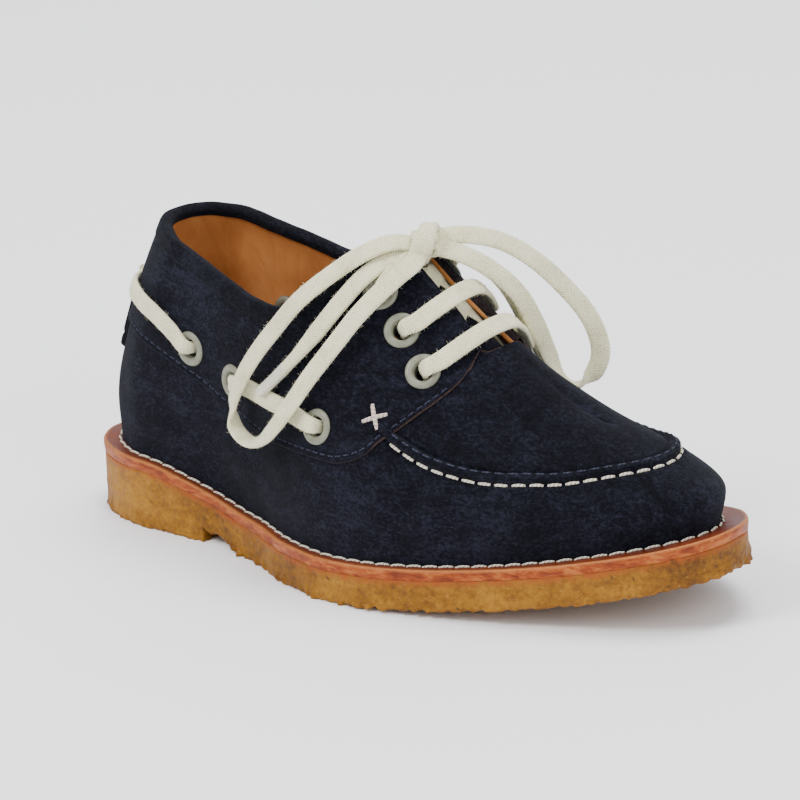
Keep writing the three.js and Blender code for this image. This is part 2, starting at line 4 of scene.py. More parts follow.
import bmesh
import bpy
import numpy as np
from mathutils import Matrix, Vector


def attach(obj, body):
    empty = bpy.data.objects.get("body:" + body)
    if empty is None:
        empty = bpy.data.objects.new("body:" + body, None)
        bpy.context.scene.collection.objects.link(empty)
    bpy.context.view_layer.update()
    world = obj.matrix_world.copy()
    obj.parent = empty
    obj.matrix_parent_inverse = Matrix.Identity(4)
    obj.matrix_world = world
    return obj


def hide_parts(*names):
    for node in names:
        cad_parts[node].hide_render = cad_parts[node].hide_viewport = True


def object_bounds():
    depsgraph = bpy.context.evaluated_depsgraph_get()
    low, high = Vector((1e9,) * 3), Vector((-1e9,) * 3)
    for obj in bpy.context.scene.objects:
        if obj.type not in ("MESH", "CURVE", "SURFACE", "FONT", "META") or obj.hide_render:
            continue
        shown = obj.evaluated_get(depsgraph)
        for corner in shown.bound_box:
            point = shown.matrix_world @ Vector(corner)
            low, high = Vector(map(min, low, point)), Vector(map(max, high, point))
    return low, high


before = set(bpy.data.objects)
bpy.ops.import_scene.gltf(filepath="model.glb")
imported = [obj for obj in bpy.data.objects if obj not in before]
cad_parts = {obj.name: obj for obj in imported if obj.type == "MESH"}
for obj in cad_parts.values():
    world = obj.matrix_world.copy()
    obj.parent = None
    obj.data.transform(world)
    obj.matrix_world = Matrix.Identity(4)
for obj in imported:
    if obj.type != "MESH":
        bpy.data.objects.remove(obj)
CAD_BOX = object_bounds()

# Sizes are in millimetres in the drawing's own frame, as in the part's source: x = 0
# at the back of the sole, +X to the toe, +Y to the inner (medial) side, +Z up.
MM = 0.001
LENGTH = 205.0
SHIFT = np.array([-LENGTH / 2, 2.0375, 0.0])     # to the row frame, before scaling
GAP = 0.3                    # between the welt's top and the upper
WALL, WELT, CREPE = 2.2, 3.0, 8.4                # thicknesses
HEEL_SEAT, FORE_SEAT = 18.9, WELT + CREPE        # the welt's top at the heel and the ball
DROP = (24.0, 68.0)          # where it comes down from the one to the other
SPRING_FROM, SPRING_RISE = 98.0, 13.5            # its rise to the toe's tip
HEEL_BREAST = 48.0           # the front of the heel lift
TIP_SIDE = 4.0               # the tip lies this far to the inner side,
SWING = (95.0, 180.0)        # and the middle line goes over to it here
EDGE_ENDS, CROWN_ENDS = (25.0, 185.0), (30.0, 166.0)
HEEL_ROUND, TOE_ROUND = 24.0, 164.0              # the upper's ends are round beyond these
HEEL_DRAWN, TOE_DRAWN, DRAWING = 70.0, 120.0, 1.25
SLIT = 0.4                   # half the crown's width, which the seam closes
TOPLINE_TILT = 0.045         # the collar is higher on the inner side
SIDES = ((-1, "lateral"), (1, "medial"))

SOLE_EDGE = {
    "x": [0, 2.2, 9, 22, 38, 54, 70, 86, 102, 118, 134, 150, 166, 180, 191.5, 199.5, 203.6, LENGTH],
    "lateral": [0, 7.6, 14.8, 20.2, 21.2, 21.6, 26.2, 34, 38.8, 39.2, 36.4, 32.2, 27.2, 21.8, 16,
                9.8, 3.4, -TIP_SIDE],
    "medial": [0, 7.6, 14.8, 20.4, 21, 19.8, 19.8, 22.8, 27.4, 31.8, 34.6, 35.4, 34.2, 31.2, 25.8,
               18.4, 11.4, TIP_SIDE],
}
# The upper from its feather line up: how far in from the sole's edge it starts and is
# widest, the shoulder's half widths and height, and the height of its crown.
UPPER = {
    "x": [0, 24, 45, 60, 75, 90, 105, 120, 135, 150, 164, 184, LENGTH],
    "welt": [5.4, 3.4, 3, 3, 3, 3.2, 3.4, 3.4, 3.4, 3.6, 4.4, 6, 7.2],
    "wide_out": [5.2, 2.2, 1.4, 1.2, 1.6, 2.6, 2.8, 2.6, 2.4, 2.4, 2.8, 4, 5.5],
    "wide_in": [5.2, 2, 0, -1.6, -2.2, -0.8, 1, 2.2, 2.6, 2.8, 3.2, 4.6, 5.5],
    "wide_up": [10, 11, 13, 14, 14, 13, 11.5, 10, 9.5, 9.5, 9.5, 9, 8],
    "edge_out": [12.4, 13, 16.4, 19.2, 21.4, 23.8, 27, 29.4, 30, 28.6, 26.2, 25.6, 25.6],
    "edge_in": [13.4, 14, 16.2, 18.6, 20.4, 22, 23.4, 24.4, 24, 23, 21.6, 20.6, 20.6],
    "edge_z": [82, 81.5, 77.3, 74, 70.5, 65.5, 56.5, 46, 39.6, 37.4, 37.4, 40, 40],
    "top": [87, 87, 87, 88.5, 90.5, 91, 88, 76.5, 64.5, 54.5, 47.4, 42.4, 41],
}
TOPLINE = {"x": [-5, 24, 34, 47, 60, 70, 78, 86, 93, 99, 104, 107],
           "z": [82.2, 82.2, 81, 77.8, 74, 71.4, 70.6, 72.6, 77, 82.2, 86, 89]}
THROAT = {"x": [92, 108, 120, 126, 130, 133.4, 135.6, 136.6],
          "half": [4.6, 4.2, 4.2, 4.8, 6.2, 7.4, 6.2, 3.2], "above": 48}

# The saddle's lower edge from the side: the collar band's seam, down to the quarter
# and up the front of the facing.
SADDLE = {"x": [0, 12, 22, 29, 37, 44, 50, 59, 68, 79, 94, 106, 112, 117, 119.5, 122.5, 126.5,
                131, 133.4, 134.4],
          "z": [54, 53.6, 52.6, 51.2, 48.6, 46.3, 44.1, 40.4, 37.8, 36.3, 36.3, 36.2, 37.4, 40, 42.9,
                45.2, 49, 53.4, 56.6, 59.5]}
SADDLE_FRONT = 134.4
SADDLE_UP = 0.95             # how far it stands off the upper

EYELET = {"flange": 4.7, "barrel": 2.45, "bore": 2.05, "sides": 40}
FACING_EYELETS = {"low": (124.4, 58.9), "mid": (116.0, 67.9), "top": (108.0, 76.3)}
SIDE_EYELETS = {"rear": (47.4, 53.4), "middle": (64.5, 48.0), "front": (100.9, 44.4)}
TONGUE = {"from": 146.0, "to": 97.0, "half": 13.5, "under": 1.8}
TAB = {"low": 42.0, "high": 59.5, "rows": 0.62, "thick": 2.1, "stand": 0.5}
MOC_LEVEL = 1.93             # where the moccasin stitches run on the form
TACK_AT, TACK_HALF = (116.9, 48.3), 3.6
BINDING_ENDS = (106.2, 86)   # x and z

# Steps of the meshes along the sole's edge.
SUEDE_STEP, LINING_STEP, SEAM_STEP, SOLE_STEP, INSOLE_STEP = 0.62, 1.3, 0.8, 0.7, 1.5
HALVINGS = 18                # of a range in which a point is sought

# Each row of stitches: the length of one, the gap to the next and the thread's radius.
STITCHES = {"welt": (3.9, 0.7, 0.33), "moc": (3.55, 1.05, 0.42), "ridge": (2.6, 0.9, 0.26),
            "saddle": (1.9, 0.7, 0.22), "tack": (7.0, 0.1, 0.62)}

# The lace: 5 mm wide, 1.6 mm thick. The bow's routes are the part's own.
LACE_WIDE, LACE_THICK = 5.0, 1.6
THROUGH_WIDE, THROUGH_THICK = [3.3, 3.6, 4.4], [1.9, 2.0, 1.8]       # gathered in an eyelet
BARS = {"low": 132.8, "mid": 123.0}          # x of each bar's middle
SIDE_LACE = [(70.5, 48.4), (76, 48.2), (82, 47.6), (88, 46.9), (94.5, 45.7)]      # x and z
HEEL_LACE = [(42, 57.0), (36, 60.2), (29, 62.3), (21, 63.4), (14, 63.8)]
HEEL_LACE_BACK = 63.9        # its z at the very back
KNOT = np.array([112.6, -1.0, 87.0])
LOOP_LATERAL = [
    [107.4, -7.6, 88.3], [102.7, -13.6, 86.2], [96.3, -19.5, 81], [89.8, -24.9, 74.6],
    [84.5, -28.6, 67.3], [79, -30.8, 59.9], [73.5, -31, 52], [70, -30.6, 45], [70.3, -30.6, 39],
    [76.4, -32.6, 36.4], [85.8, -36, 40.4], [93.6, -36, 49], [99.2, -33, 57.8], [104.2, -28, 66.2],
    [107.8, -23.2, 72.8], [111, -18, 77.9], [113.6, -12.8, 81.8], [114.6, -8, 84],
]
LOOP_MEDIAL = [
    [115.6, 4.8, 88.2], [120.5, 9, 88], [125.4, 15, 85.4], [130.1, 21, 80.1], [134.7, 27, 72.2],
    [138.9, 31, 64.4], [140.9, 33, 57.7], [141.4, 33, 52.3], [139.6, 31.5, 47.2],
    [136.3, 29, 44.5], [134.2, 26.2, 47], [132.4, 23.6, 53.2], [131.6, 19.6, 62.8],
    [130.2, 15.2, 71.6], [127.4, 10.2, 78.2], [123.6, 6.6, 82.2], [119.4, 3.4, 84.8],
]
END_LATERAL = [
    [107.6, -9.8, 84.2], [104.4, -15.8, 80.8], [100.6, -21.4, 74.6], [96.2, -26, 67.4],
    [91.2, -29.2, 60.6], [85.6, -30.9, 54.6], [80.4, -31.2, 50],
]
END_MEDIAL = [
    [114.8, 6, 84.4], [118, 9.6, 81.6], [121, 13.4, 76.9], [123.6, 17.4, 70.9], [124.9, 21.7, 62.8],
    [125.4, 25.6, 54.8], [126.4, 28.8, 48.6],
]

# ---------------------------------------------------------------------- helpers


def smooth(low, high, x):
    share = np.clip((np.asarray(x, float) - low) / (high - low), 0, 1)
    return share * share * (3 - 2 * share)


def column(table, name, x):
    """A smooth curve through one column of a table, with no overshoot."""
    xs, ys = np.array(table["x"], float), np.array(table[name], float)
    rise = np.diff(ys) / np.diff(xs)
    slope = np.zeros(len(xs))
    before, after = rise[:-1], rise[1:]
    same = before * after > 0
    slope[1:-1][same] = 2 * before[same] * after[same] / (before + after)[same]
    x = np.clip(x, xs[0], xs[-1])
    i = np.clip(np.searchsorted(xs, x, side="right") - 1, 0, len(xs) - 2)
    width = xs[i + 1] - xs[i]
    return hermite(ys[i], slope[i] * width, ys[i + 1], slope[i + 1] * width, (x - xs[i]) / width)


def hermite(start, leave, end, arrive, t):
    t2, t3 = t * t, t * t * t
    return (start * (2 * t3 - 3 * t2 + 1) + leave * (t3 - 2 * t2 + t)
            + end * (3 * t2 - 2 * t3) + arrive * (t3 - t2))


def unit(v):
    return v / np.maximum(np.linalg.norm(v, axis=-1, keepdims=True), 1e-9)


def run_along(points):
    """The distance covered up to each point of a line."""
    return np.concatenate([[0], np.cumsum(np.linalg.norm(np.diff(points, axis=0), axis=1))])


def sampled(at, run, values):
    """Rows of values that are given at run, read off at other distances."""
    return np.stack([np.interp(at, run, values[:, k]) for k in range(3)], -1)


def lifted(plan, z):
    """Points in plan, each with its height."""
    return np.concatenate([plan, z[..., None]], -1)


def rolled(inside, reach):
    """A quarter circle's rise from 0 at an edge to 1 at reach inside it."""
    return np.sqrt(np.clip(1 - (1 - np.clip(inside / reach, 0, 1)) ** 2, 0, 1))


def welt_top(x):
    spring = np.clip((x - SPRING_FROM) / (LENGTH - SPRING_FROM), 0, 1)
    return HEEL_SEAT + (FORE_SEAT - HEEL_SEAT) * smooth(*DROP, x) + SPRING_RISE * spring ** 2


def middle(x):
    return TIP_SIDE * smooth(*SWING, x)


# The sole's edge is one closed curve: s runs from 0 at the heel along the outer side
# to 17 at the toe, and back along the inner side to 34.
ROWS = len(SOLE_EDGE["x"]) - 1
AROUND = 2 * ROWS
_edge = np.array(
    [(x, -y) for x, y in zip(SOLE_EDGE["x"], SOLE_EDGE["lateral"])]
    + [(x, y) for x, y in zip(SOLE_EDGE["x"][-2:0:-1], SOLE_EDGE["medial"][-2:0:-1])])


def sole_edge(s):
    s = np.mod(s, AROUND)
    i = np.floor(s).astype(int) % AROUND
    t = (s - np.floor(s))[..., None]
    before, start, end, after = (_edge[(i + k) % AROUND] for k in (-1, 0, 1, 2))
    return hermite(start, (end - before) / 2, end, (after - start) / 2, t)


def inset(s, distance):
    """The sole's edge moved inwards in plan."""
    step = 0.02
    along = unit(sole_edge(s + step) - sole_edge(s - step))
    inward = np.stack([-along[..., 1], along[..., 0]], -1)
    return sole_edge(s) + inward * np.asarray(distance)[..., None]


def by_side(s, outer, inner):
    """One value on the outer side and another on the inner."""
    return np.where(np.mod(s, AROUND) <= ROWS, outer, inner)


def drawn_in(s, ends, half):
    """x and y of a line of the upper that is shorter than the sole, between two ends."""
    edge = sole_edge(s)
    x, y = edge[..., 0], edge[..., 1]
    side = by_side(s, -1.0, 1.0)
    widest = np.clip(x, HEEL_ROUND, TOE_ROUND)
    full = by_side(s, column(SOLE_EDGE, "lateral", widest), column(SOLE_EDGE, "medial", widest))
    share = np.clip(side * (y - middle(x)) / (full - side * middle(widest)), 0, 1)
    heel = np.clip(1 - x / HEEL_DRAWN, 0, 1) ** DRAWING
    toe = np.clip((x - TOE_DRAWN) / (LENGTH - TOE_DRAWN), 0, 1) ** DRAWING
    moved = x + ends[0] * heel - (LENGTH - ends[1]) * toe
    roundness = np.where((x > HEEL_ROUND) & (x < TOE_ROUND), 1, share)
    return moved, middle(moved) + side * half(moved) * roundness


def form(s, level):
    """The upper's form: level 0 is the feather line, 1 the belly, 2 the shoulder and 3
    the middle line."""
    s, level = np.broadcast_arrays(np.asarray(s, float), np.asarray(level, float))
    x = sole_edge(s)[..., 0]
    feather = inset(s, column(UPPER, "welt", x))
    feather = lifted(feather, welt_top(feather[..., 0]) + GAP)
    wide = inset(s, by_side(s, column(UPPER, "wide_out", x), column(UPPER, "wide_in", x)))
    wide = lifted(wide, welt_top(wide[..., 0]) + GAP + column(UPPER, "wide_up", x))
    half = lambda at: by_side(s, column(UPPER, "edge_out", at), column(UPPER, "edge_in", at))
    ex, ey = drawn_in(s, EDGE_ENDS, half)
    shoulder = np.stack([ex, ey, column(UPPER, "edge_z", ex)], -1)
    cx, cy = drawn_in(s, CROWN_ENDS, lambda at: SLIT)
    crown = np.stack([cx, cy, column(UPPER, "top", cx)], -1)
    upright = np.zeros_like(wide)
    upright[..., 2] = (shoulder - wide)[..., 2] * 0.8
    across = 0.5 * (crown - wide)
    flat = crown - shoulder
    flat[..., 2] = 0
    rise = np.zeros_like(wide)
    rise[..., 2] = (wide - feather)[..., 2]
    lv = level[..., None]
    low = hermite(feather, (wide - feather) * 1.4, wide, rise, np.clip(lv, 0, 1))
    mid = hermite(wide, upright, shoulder, across, np.clip(lv - 1, 0, 1))
    top = hermite(shoulder, across, crown, flat, np.clip(lv - 2, 0, 1))
    return np.where(lv <= 1, low, np.where(lv <= 2, mid, top))


def slopes(s, level):
    """The form's directions along s and up the levels."""
    step = 0.03
    along = form(s + step, level) - form(s - step, level)
    high, low = np.minimum(level + step, 3), np.maximum(level - step, 0)
    up = (form(s, high) - form(s, low)) / (high - low)[..., None]
    return along, up


def normal(s, level):
    s, level = np.broadcast_arrays(np.asarray(s, float), np.asarray(level, float))
    along, up = slopes(s, level)
    return unit(np.cross(along, up))


def off_form(s, level, distance):
    distance = np.asarray(distance, float)
    return form(s, level) + normal(s, level) * distance[..., None]


def raised(s, level, distance):
    """The level a distance in millimetres further up the form."""
    s, level = np.broadcast_arrays(np.asarray(s, float), np.asarray(level, float))
    rate = np.linalg.norm(slopes(s, level)[1], axis=-1)
    return level + distance / rate


def first_level(s, reached, low=0.0, high=3.0, count=300):
    """The lowest level at which reached(points) is true, for each s."""
    levels = np.linspace(low, high, count)
    hit = reached(form(s[:, None], levels[None, :]))
    index = np.where(hit.any(1), hit.argmax(1), count - 1)
    a, b = levels[np.maximum(index - 1, 0)], levels[index]
    for _ in range(14):
        m = (a + b) / 2
        yes = reached(form(s, m)[:, None, :])[:, 0]
        a, b = np.where(yes, a, m), np.where(yes, m, b)
    return np.where(hit.any(1), b, high)


def find_on_form(side, x, z):
    """s and level of the form's point with that x and z on one side."""
    best = (ROWS / 2 if side < 0 else AROUND - ROWS / 2, 2.0)
    reach = (ROWS / 2, 1.0)
    low, high = (0, ROWS) if side < 0 else (ROWS, AROUND)
    while reach[0] > 0.001:
        s = np.clip(best[0] + np.linspace(-1, 1, 9)[:, None] * reach[0], low + 0.001, high - 0.001)
        level = np.clip(best[1] + np.linspace(-1, 1, 9)[None, :] * reach[1], 0, 3)
        s, level = np.broadcast_arrays(s, level)
        p = form(s, level)
        k = np.argmin(np.hypot(p[..., 0] - x, p[..., 2] - z))
        best = (s.flat[k], level.flat[k])
        reach = (reach[0] * 0.6, reach[1] * 0.6)
    return best


def over_collar(p):
    """Whether each point is in the collar's opening or in the throat."""
    x, y, z = p[..., 0], p[..., 1], p[..., 2]
    collar = (x < TOPLINE["x"][-1]) & (z >= column(TOPLINE, "z", x) + TOPLINE_TILT * y)
    half = column(THROAT, "half", x)
    slot = (x > THROAT["x"][0]) & (x < THROAT["x"][-1]) & (z > THROAT["above"])
    return collar | slot & (np.abs(y - middle(x)) < half)


def in_saddle(p):
    """Whether each point is above the saddle's lower edge."""
    return p[..., 2] >= column(SADDLE, "z", p[..., 0])


# ------------------------------------------------------------------ mesh helpers


def grid_faces(rows, cols, wrap_rows=False, wrap_cols=False):
    """Quads of a grid of points that may close on itself either way."""
    i = np.arange(rows if wrap_rows else rows - 1)[:, None]
    j = np.arange(cols if wrap_cols else cols - 1)[None, :]
    i2, j2 = (i + 1) % rows, (j + 1) % cols
    at = lambda a, b: (a * cols + b).ravel()
    i, j, i2, j2 = (np.broadcast_to(k, (i.shape[0], j.shape[1])) for k in (i, j, i2, j2))
    return np.stack([at(i, j), at(i2, j), at(i2, j2), at(i, j2)], -1)


def make(name, points, faces, material, attributes=None):
    """A mesh object from points in the drawing's frame."""
    mesh = bpy.data.meshes.new(name)
    verts = (np.asarray(points, float).reshape(-1, 3) + SHIFT) * MM
    mesh.from_pydata(verts.tolist(), [], [list(map(int, f)) for f in faces])
    for key, values in (attributes or {}).items():
        layer = mesh.attributes.new(key, "FLOAT", "POINT")
        layer.data.foreach_set("value", np.asarray(values, np.float32).ravel())
    mesh.polygons.foreach_set("use_smooth", [True] * len(mesh.polygons))
    mesh.materials.append(material)
    mesh.validate()
    solid = bmesh.new()
    solid.from_mesh(mesh)
    bmesh.ops.recalc_face_normals(solid, faces=solid.faces)
    solid.to_mesh(mesh)
    solid.free()
    mesh.update()
    piece = bpy.data.objects.new(name, mesh)
    bpy.context.scene.collection.objects.link(piece)
    return piece


def settle(piece, slot, *nodes):
    if nodes:
        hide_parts(*nodes)
    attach(piece, "root")
    return piece


def without_eyelet_holes(points, faces, radius):
    """The faces that are further than radius from every eyelet's middle."""
    p = np.asarray(points).reshape(-1, 3)
    centre = p[np.asarray(faces)].mean(1)
    keep = np.ones(len(faces), bool)
    for spot in EYELET_SPOTS:
        keep &= np.linalg.norm(centre - spot["place"], axis=1) > radius
    return np.asarray(faces)[keep]


# ---------------------------------------------------------------------- materials


class Nodes:
    """Short calls for a material's nodes."""

    def __init__(self, name):
        self.material = bpy.data.materials.new(name)
        self.material.use_nodes = True
        self.tree = self.material.node_tree
        self.shader = self.tree.nodes["Principled BSDF"]
        self.place = self.add("ShaderNodeTexCoord").outputs["Object"]

    def add(self, kind, **settings):
        node = self.tree.nodes.new(kind)
        for key, value in settings.items():
            setattr(node, key, value)
        return node

    def link(self, a, b):
        self.tree.links.new(a, b)

    def noise(self, scale, detail, rough, stretch=None, distortion=0.0):
        node = self.add("ShaderNodeTexNoise")
        place = self.place
        if stretch:
            mapping = self.add("ShaderNodeMapping")
            mapping.inputs["Scale"].default_value = stretch
            self.link(place, mapping.inputs["Vector"])
            place = mapping.outputs["Vector"]
        self.link(place, node.inputs["Vector"])
        node.inputs["Scale"].default_value = scale
        node.inputs["Detail"].default_value = detail
        node.inputs["Roughness"].default_value = rough
        node.inputs["Distortion"].default_value = distortion
        return node.outputs["Fac"]

    def voronoi(self, scale):
        node = self.add("ShaderNodeTexVoronoi")
        self.link(self.place, node.inputs["Vector"])
        node.inputs["Scale"].default_value = scale
        return node.outputs["Distance"]

    def attribute(self, name):
        return self.add("ShaderNodeAttribute", attribute_name=name).outputs["Fac"]

    def fill(self, socket, value):
        """A socket's number, its colour, or its link to another node."""
        if isinstance(value, (int, float)):
            socket.default_value = value
        elif isinstance(value, tuple):
            socket.default_value = (*value, 1)
        else:
            self.link(value, socket)

    def math(self, kind, *values):
        node = self.add("ShaderNodeMath", operation=kind)
        for socket, value in zip(node.inputs, values):
            self.fill(socket, value)
        return node.outputs[0]

    def total(self, *parts):
        """The weighted sum of pairs of a value and its weight."""
        weighted = [self.math("MULTIPLY", value, weight) for value, weight in parts]
        added = weighted[0]
        for value in weighted[1:]:
            added = self.math("ADD", added, value)
        return added

    def wave(self, value, length):
        return self.math("SINE", self.math("MULTIPLY", value, 2 * math.pi / length))

    def band(self, value, low, high, to_low=0.0, to_high=1.0):
        """A value between low and high, brought to the range from to_low to to_high."""
        node = self.add("ShaderNodeMapRange", clamp=True)
        self.link(value, node.inputs["Value"])
        node.inputs["From Min"].default_value = low
        node.inputs["From Max"].default_value = high
        node.inputs["To Min"].default_value = to_low
        node.inputs["To Max"].default_value = to_high
        return node.outputs["Result"]

    def ramp(self, value, stops):
        node = self.add("ShaderNodeValToRGB")
        elements = node.color_ramp.elements
        while len(elements) < len(stops):
            elements.new(0.5)
        for element, (place, colour) in zip(elements, stops):
            element.position = place
            element.color = (*colour, 1)
        self.link(value, node.inputs["Fac"])
        return node.outputs["Color"]

    def mix(self, share, a, b):
        """Colour a, or b where share is 1."""
        node = self.add("ShaderNodeMix", data_type="RGBA")
        node.clamp_factor = True
        for k, value in ((0, share), (6, a), (7, b)):      # the sockets for colours
            self.fill(node.inputs[k], value)
        return node.outputs[2]

    def bump(self, height, distance, strength=1.0, onto=None):
        node = self.add("ShaderNodeBump")
        node.inputs["Distance"].default_value = distance * MM
        node.inputs["Strength"].default_value = strength
        self.link(height, node.inputs["Height"])
        if onto is not None:
            self.link(onto, node.inputs["Normal"])
        return node.outputs["Normal"]

    def finish(self, colour, roughness, bumped=None, **fixed):
        self.fill(self.shader.inputs["Base Color"], colour)
        self.fill(self.shader.inputs["Roughness"], roughness)
        if bumped is not None:
            self.link(bumped, self.shader.inputs["Normal"])
        for key, value in fixed.items():
            self.shader.inputs[key.replace("_", " ")].default_value = value
        return self.material


YARN_STEP, YARN_WIDE = 0.78, 0.62            # the lace's weave, along it and across
THREAD_LAY = 1.1                             # one turn of the stitches' two yarns


def suede(name, dark, mid, light, raw=None):
    """Brushed suede: a short nap lying in patches, with a paler cut edge where the
    mesh's edge attribute says so."""
    n = Nodes(name)
    patches = n.noise(34, 4, 0.6, distortion=0.8)
    brushed = n.noise(210, 4, 0.65, stretch=(0.6, 1, 1.5), distortion=0.6)
    clumps = n.noise(1100, 3, 0.65, stretch=(0.8, 1, 1.2))
    fibres = n.noise(3200, 3, 0.7)
    tone = n.total((patches, 0.24), (brushed, 0.24), (clumps, 0.42), (fibres, 0.3))
    colour = n.ramp(tone, [(0.5, dark), (0.6, mid), (0.72, light)])
    if raw:
        worn = n.math("MULTIPLY", n.attribute("edge"), n.band(fibres, 0.35, 0.6))
        colour = n.mix(worn, colour, raw)
    grain = n.bump(fibres, 0.3, 0.9)
    grain = n.bump(clumps, 0.3, 0.6, grain)
    nap = n.bump(brushed, 0.7, 0.4, grain)
    return n.finish(colour, 0.95, nap, Sheen_Weight=0.04, Sheen_Roughness=0.4,
                    Sheen_Tint=(0.6, 0.65, 0.8, 1), Specular_IOR_Level=0.1)


def lining_leather(name):
    """Soft orange-tan leather, clouded and finely wrinkled."""
    n = Nodes(name)
    cloud = n.noise(35, 4, 0.55)
    wrinkle = n.noise(90, 5, 0.6, stretch=(1, 1, 0.35), distortion=1.2)
    pores = n.voronoi(1500)
    tone = n.total((cloud, 0.6), (wrinkle, 0.4))
    colour = n.ramp(tone, [(0.33, (0.3, 0.1, 0.023)), (0.52, (0.46, 0.18, 0.048)),
                           (0.7, (0.58, 0.27, 0.09))])
    rough = n.band(cloud, 0.3, 0.7, 0.5, 0.66)
    fine = n.bump(pores, 0.05, 0.4)
    return n.finish(colour, rough, n.bump(wrinkle, 0.9, 0.45, fine), Specular_IOR_Level=0.35)


def welt_leather(name):
    """The welt: waxed red-brown on top, sanded and paler round its edge, with a painted highlight along
    its rounded top corner.
    """
    n = Nodes(name)
    cloud = n.noise(60, 4, 0.6)
    streak = n.noise(420, 5, 0.65, stretch=(0.5, 0.5, 1.6), distortion=0.5)
    pores = n.noise(1900, 2, 0.6)
    tone = n.total((cloud, 0.55), (pores, 0.45))
    waxed = n.ramp(tone, [(0.32, (0.06, 0.008, 0.002)), (0.52, (0.12, 0.018, 0.004)),
                          (0.72, (0.22, 0.042, 0.009))])
    sanded = n.ramp(streak, [(0.36, (0.13, 0.018, 0.002)), (0.5, (0.26, 0.045, 0.004)),
                             (0.64, (0.38, 0.11, 0.02))])
    colour = n.mix(n.attribute("edge"), waxed, sanded)
    # painted highlight: a paler colour along the welt's rounded top corner, broken up by the pores
    rim_highlight = n.math("MULTIPLY", n.attribute("rim_highlight"), n.band(pores, 0.3, 0.55, 0.45, 1.0))
    colour = n.mix(rim_highlight, colour, (0.38, 0.135, 0.036))
    fine = n.bump(pores, 0.12, 0.5)
    return n.finish(colour, n.band(cloud, 0.3, 0.7, 0.42, 0.6), n.bump(streak, 0.25, 0.5, fine),
                    Specular_IOR_Level=0.22)


def crepe_rubber(name):
    """Honey crepe: grainy, with pale and dark flecks, and welt dye run into its top."""
    n = Nodes(name)
    cloud = n.noise(55, 5, 0.6)
    grains = n.voronoi(900)
    flecks = n.noise(700, 3, 0.65)
    drag = n.noise(190, 5, 0.65, stretch=(0.8, 0.8, 1.3), distortion=0.8)
    tone = n.total((cloud, 0.45), (flecks, 0.3), (drag, 0.25))
    colour = n.ramp(tone, [(0.38, (0.09, 0.03, 0.001)), (0.5, (0.21, 0.083, 0.003)),
                           (0.62, (0.33, 0.15, 0.012))])
    colour = n.mix(n.band(n.noise(1300, 2, 0.5), 0.66, 0.74, 0, 0.5), colour, (0.42, 0.23, 0.05))
    colour = n.mix(n.band(n.noise(420, 2, 0.5), 0.69, 0.75, 0, 0.8), colour, (0.05, 0.025, 0.008))
    blotches = n.band(n.noise(350, 5, 0.7), 0.36, 0.58, 0.2, 1)
    stained = n.math("MULTIPLY", n.attribute("stain"), blotches)
    colour = n.mix(stained, colour, (0.27, 0.052, 0.005))
    fine = n.bump(grains, 0.3, 0.55)
    body = n.bump(drag, 0.9, 0.5, fine)
    return n.finish(colour, n.band(flecks, 0.3, 0.7, 0.5, 0.72), body, Subsurface_Weight=0.12,
                    Subsurface_Scale=0.004, Specular_IOR_Level=0.22)


def cotton(name):
    """Woven cotton lace: chevrons of yarn on either side of its middle, with a fuzz."""
    n = Nodes(name)
    along, across = n.attribute("along"), n.attribute("across")
    slant = n.math("ADD", along, n.math("MULTIPLY", n.math("ABSOLUTE", across), 0.8))
    yarn = n.wave(slant, YARN_STEP)
    lines = n.wave(across, YARN_WIDE)
    weave = n.math("MULTIPLY", n.band(yarn, -1, 1), n.band(lines, -1, 1, 0.3, 1))
    fuzz = n.noise(2300, 5, 0.75)
    soil = n.noise(160, 4, 0.6)
    tone = n.total((weave, 0.2), (fuzz, 0.55), (soil, 0.35))
    colour = n.ramp(tone, [(0.3, (0.34, 0.31, 0.17)), (0.5, (0.76, 0.72, 0.46)),
                           (0.72, (0.9, 0.86, 0.62))])
    fine = n.bump(fuzz, 0.35, 0.8)
    return n.finish(colour, 0.95, n.bump(weave, 0.2, 0.6, fine), Sheen_Weight=0.35,
                    Sheen_Roughness=0.5, Specular_IOR_Level=0.2)


def thread(name, pale, painted_shade):
    """Waxed linen thread, laid from two twisted yarns, with painted shade along the grooves of the
    twist.
    """
    n = Nodes(name)
    laid = n.math("MULTIPLY", n.attribute("along"), 2 * math.pi / THREAD_LAY)
    twist = n.band(n.math("SINE", n.math("ADD", laid, n.attribute("turn"))), -1, 1)
    fuzz = n.noise(2600, 3, 0.6)
    # painted shade: the twist's low half, where the bump sinks, takes the darker colour; the fuzz
    # varies the tone at random
    colour = n.ramp(n.total((twist, 0.6), (fuzz, 0.4)), [(0.25, painted_shade), (0.62, pale)])
    return n.finish(colour, 0.8, n.bump(twist, 0.2, 0.7), Specular_IOR_Level=0.3)


def enamel(name):
    """Grey-green enamel with a few chips, and painted shade, near black, inside the hole."""
    n = Nodes(name)
    cloud = n.noise(400, 3, 0.5)
    chipped = n.band(n.noise(2200, 2, 0.6), 0.69, 0.74, 0, 0.6)
    colour = n.ramp(cloud, [(0.3, (0.14, 0.14, 0.1)), (0.7, (0.21, 0.21, 0.155))])
    colour = n.mix(chipped, colour, (0.2, 0.19, 0.15))
    # painted shade: the hole's inside and the floor that closes it are darkened to near black by how
    # far in they are; the same share sets the roughness
    colour = n.mix(n.attribute("painted_shade"), colour, (0.004, 0.004, 0.005))
    rough_part = n.band(n.attribute("painted_shade"), 0, 1, 0.36, 0.95)
    return n.finish(colour, rough_part, n.bump(cloud, 0.05, 0.3), Specular_IOR_Level=0.35)


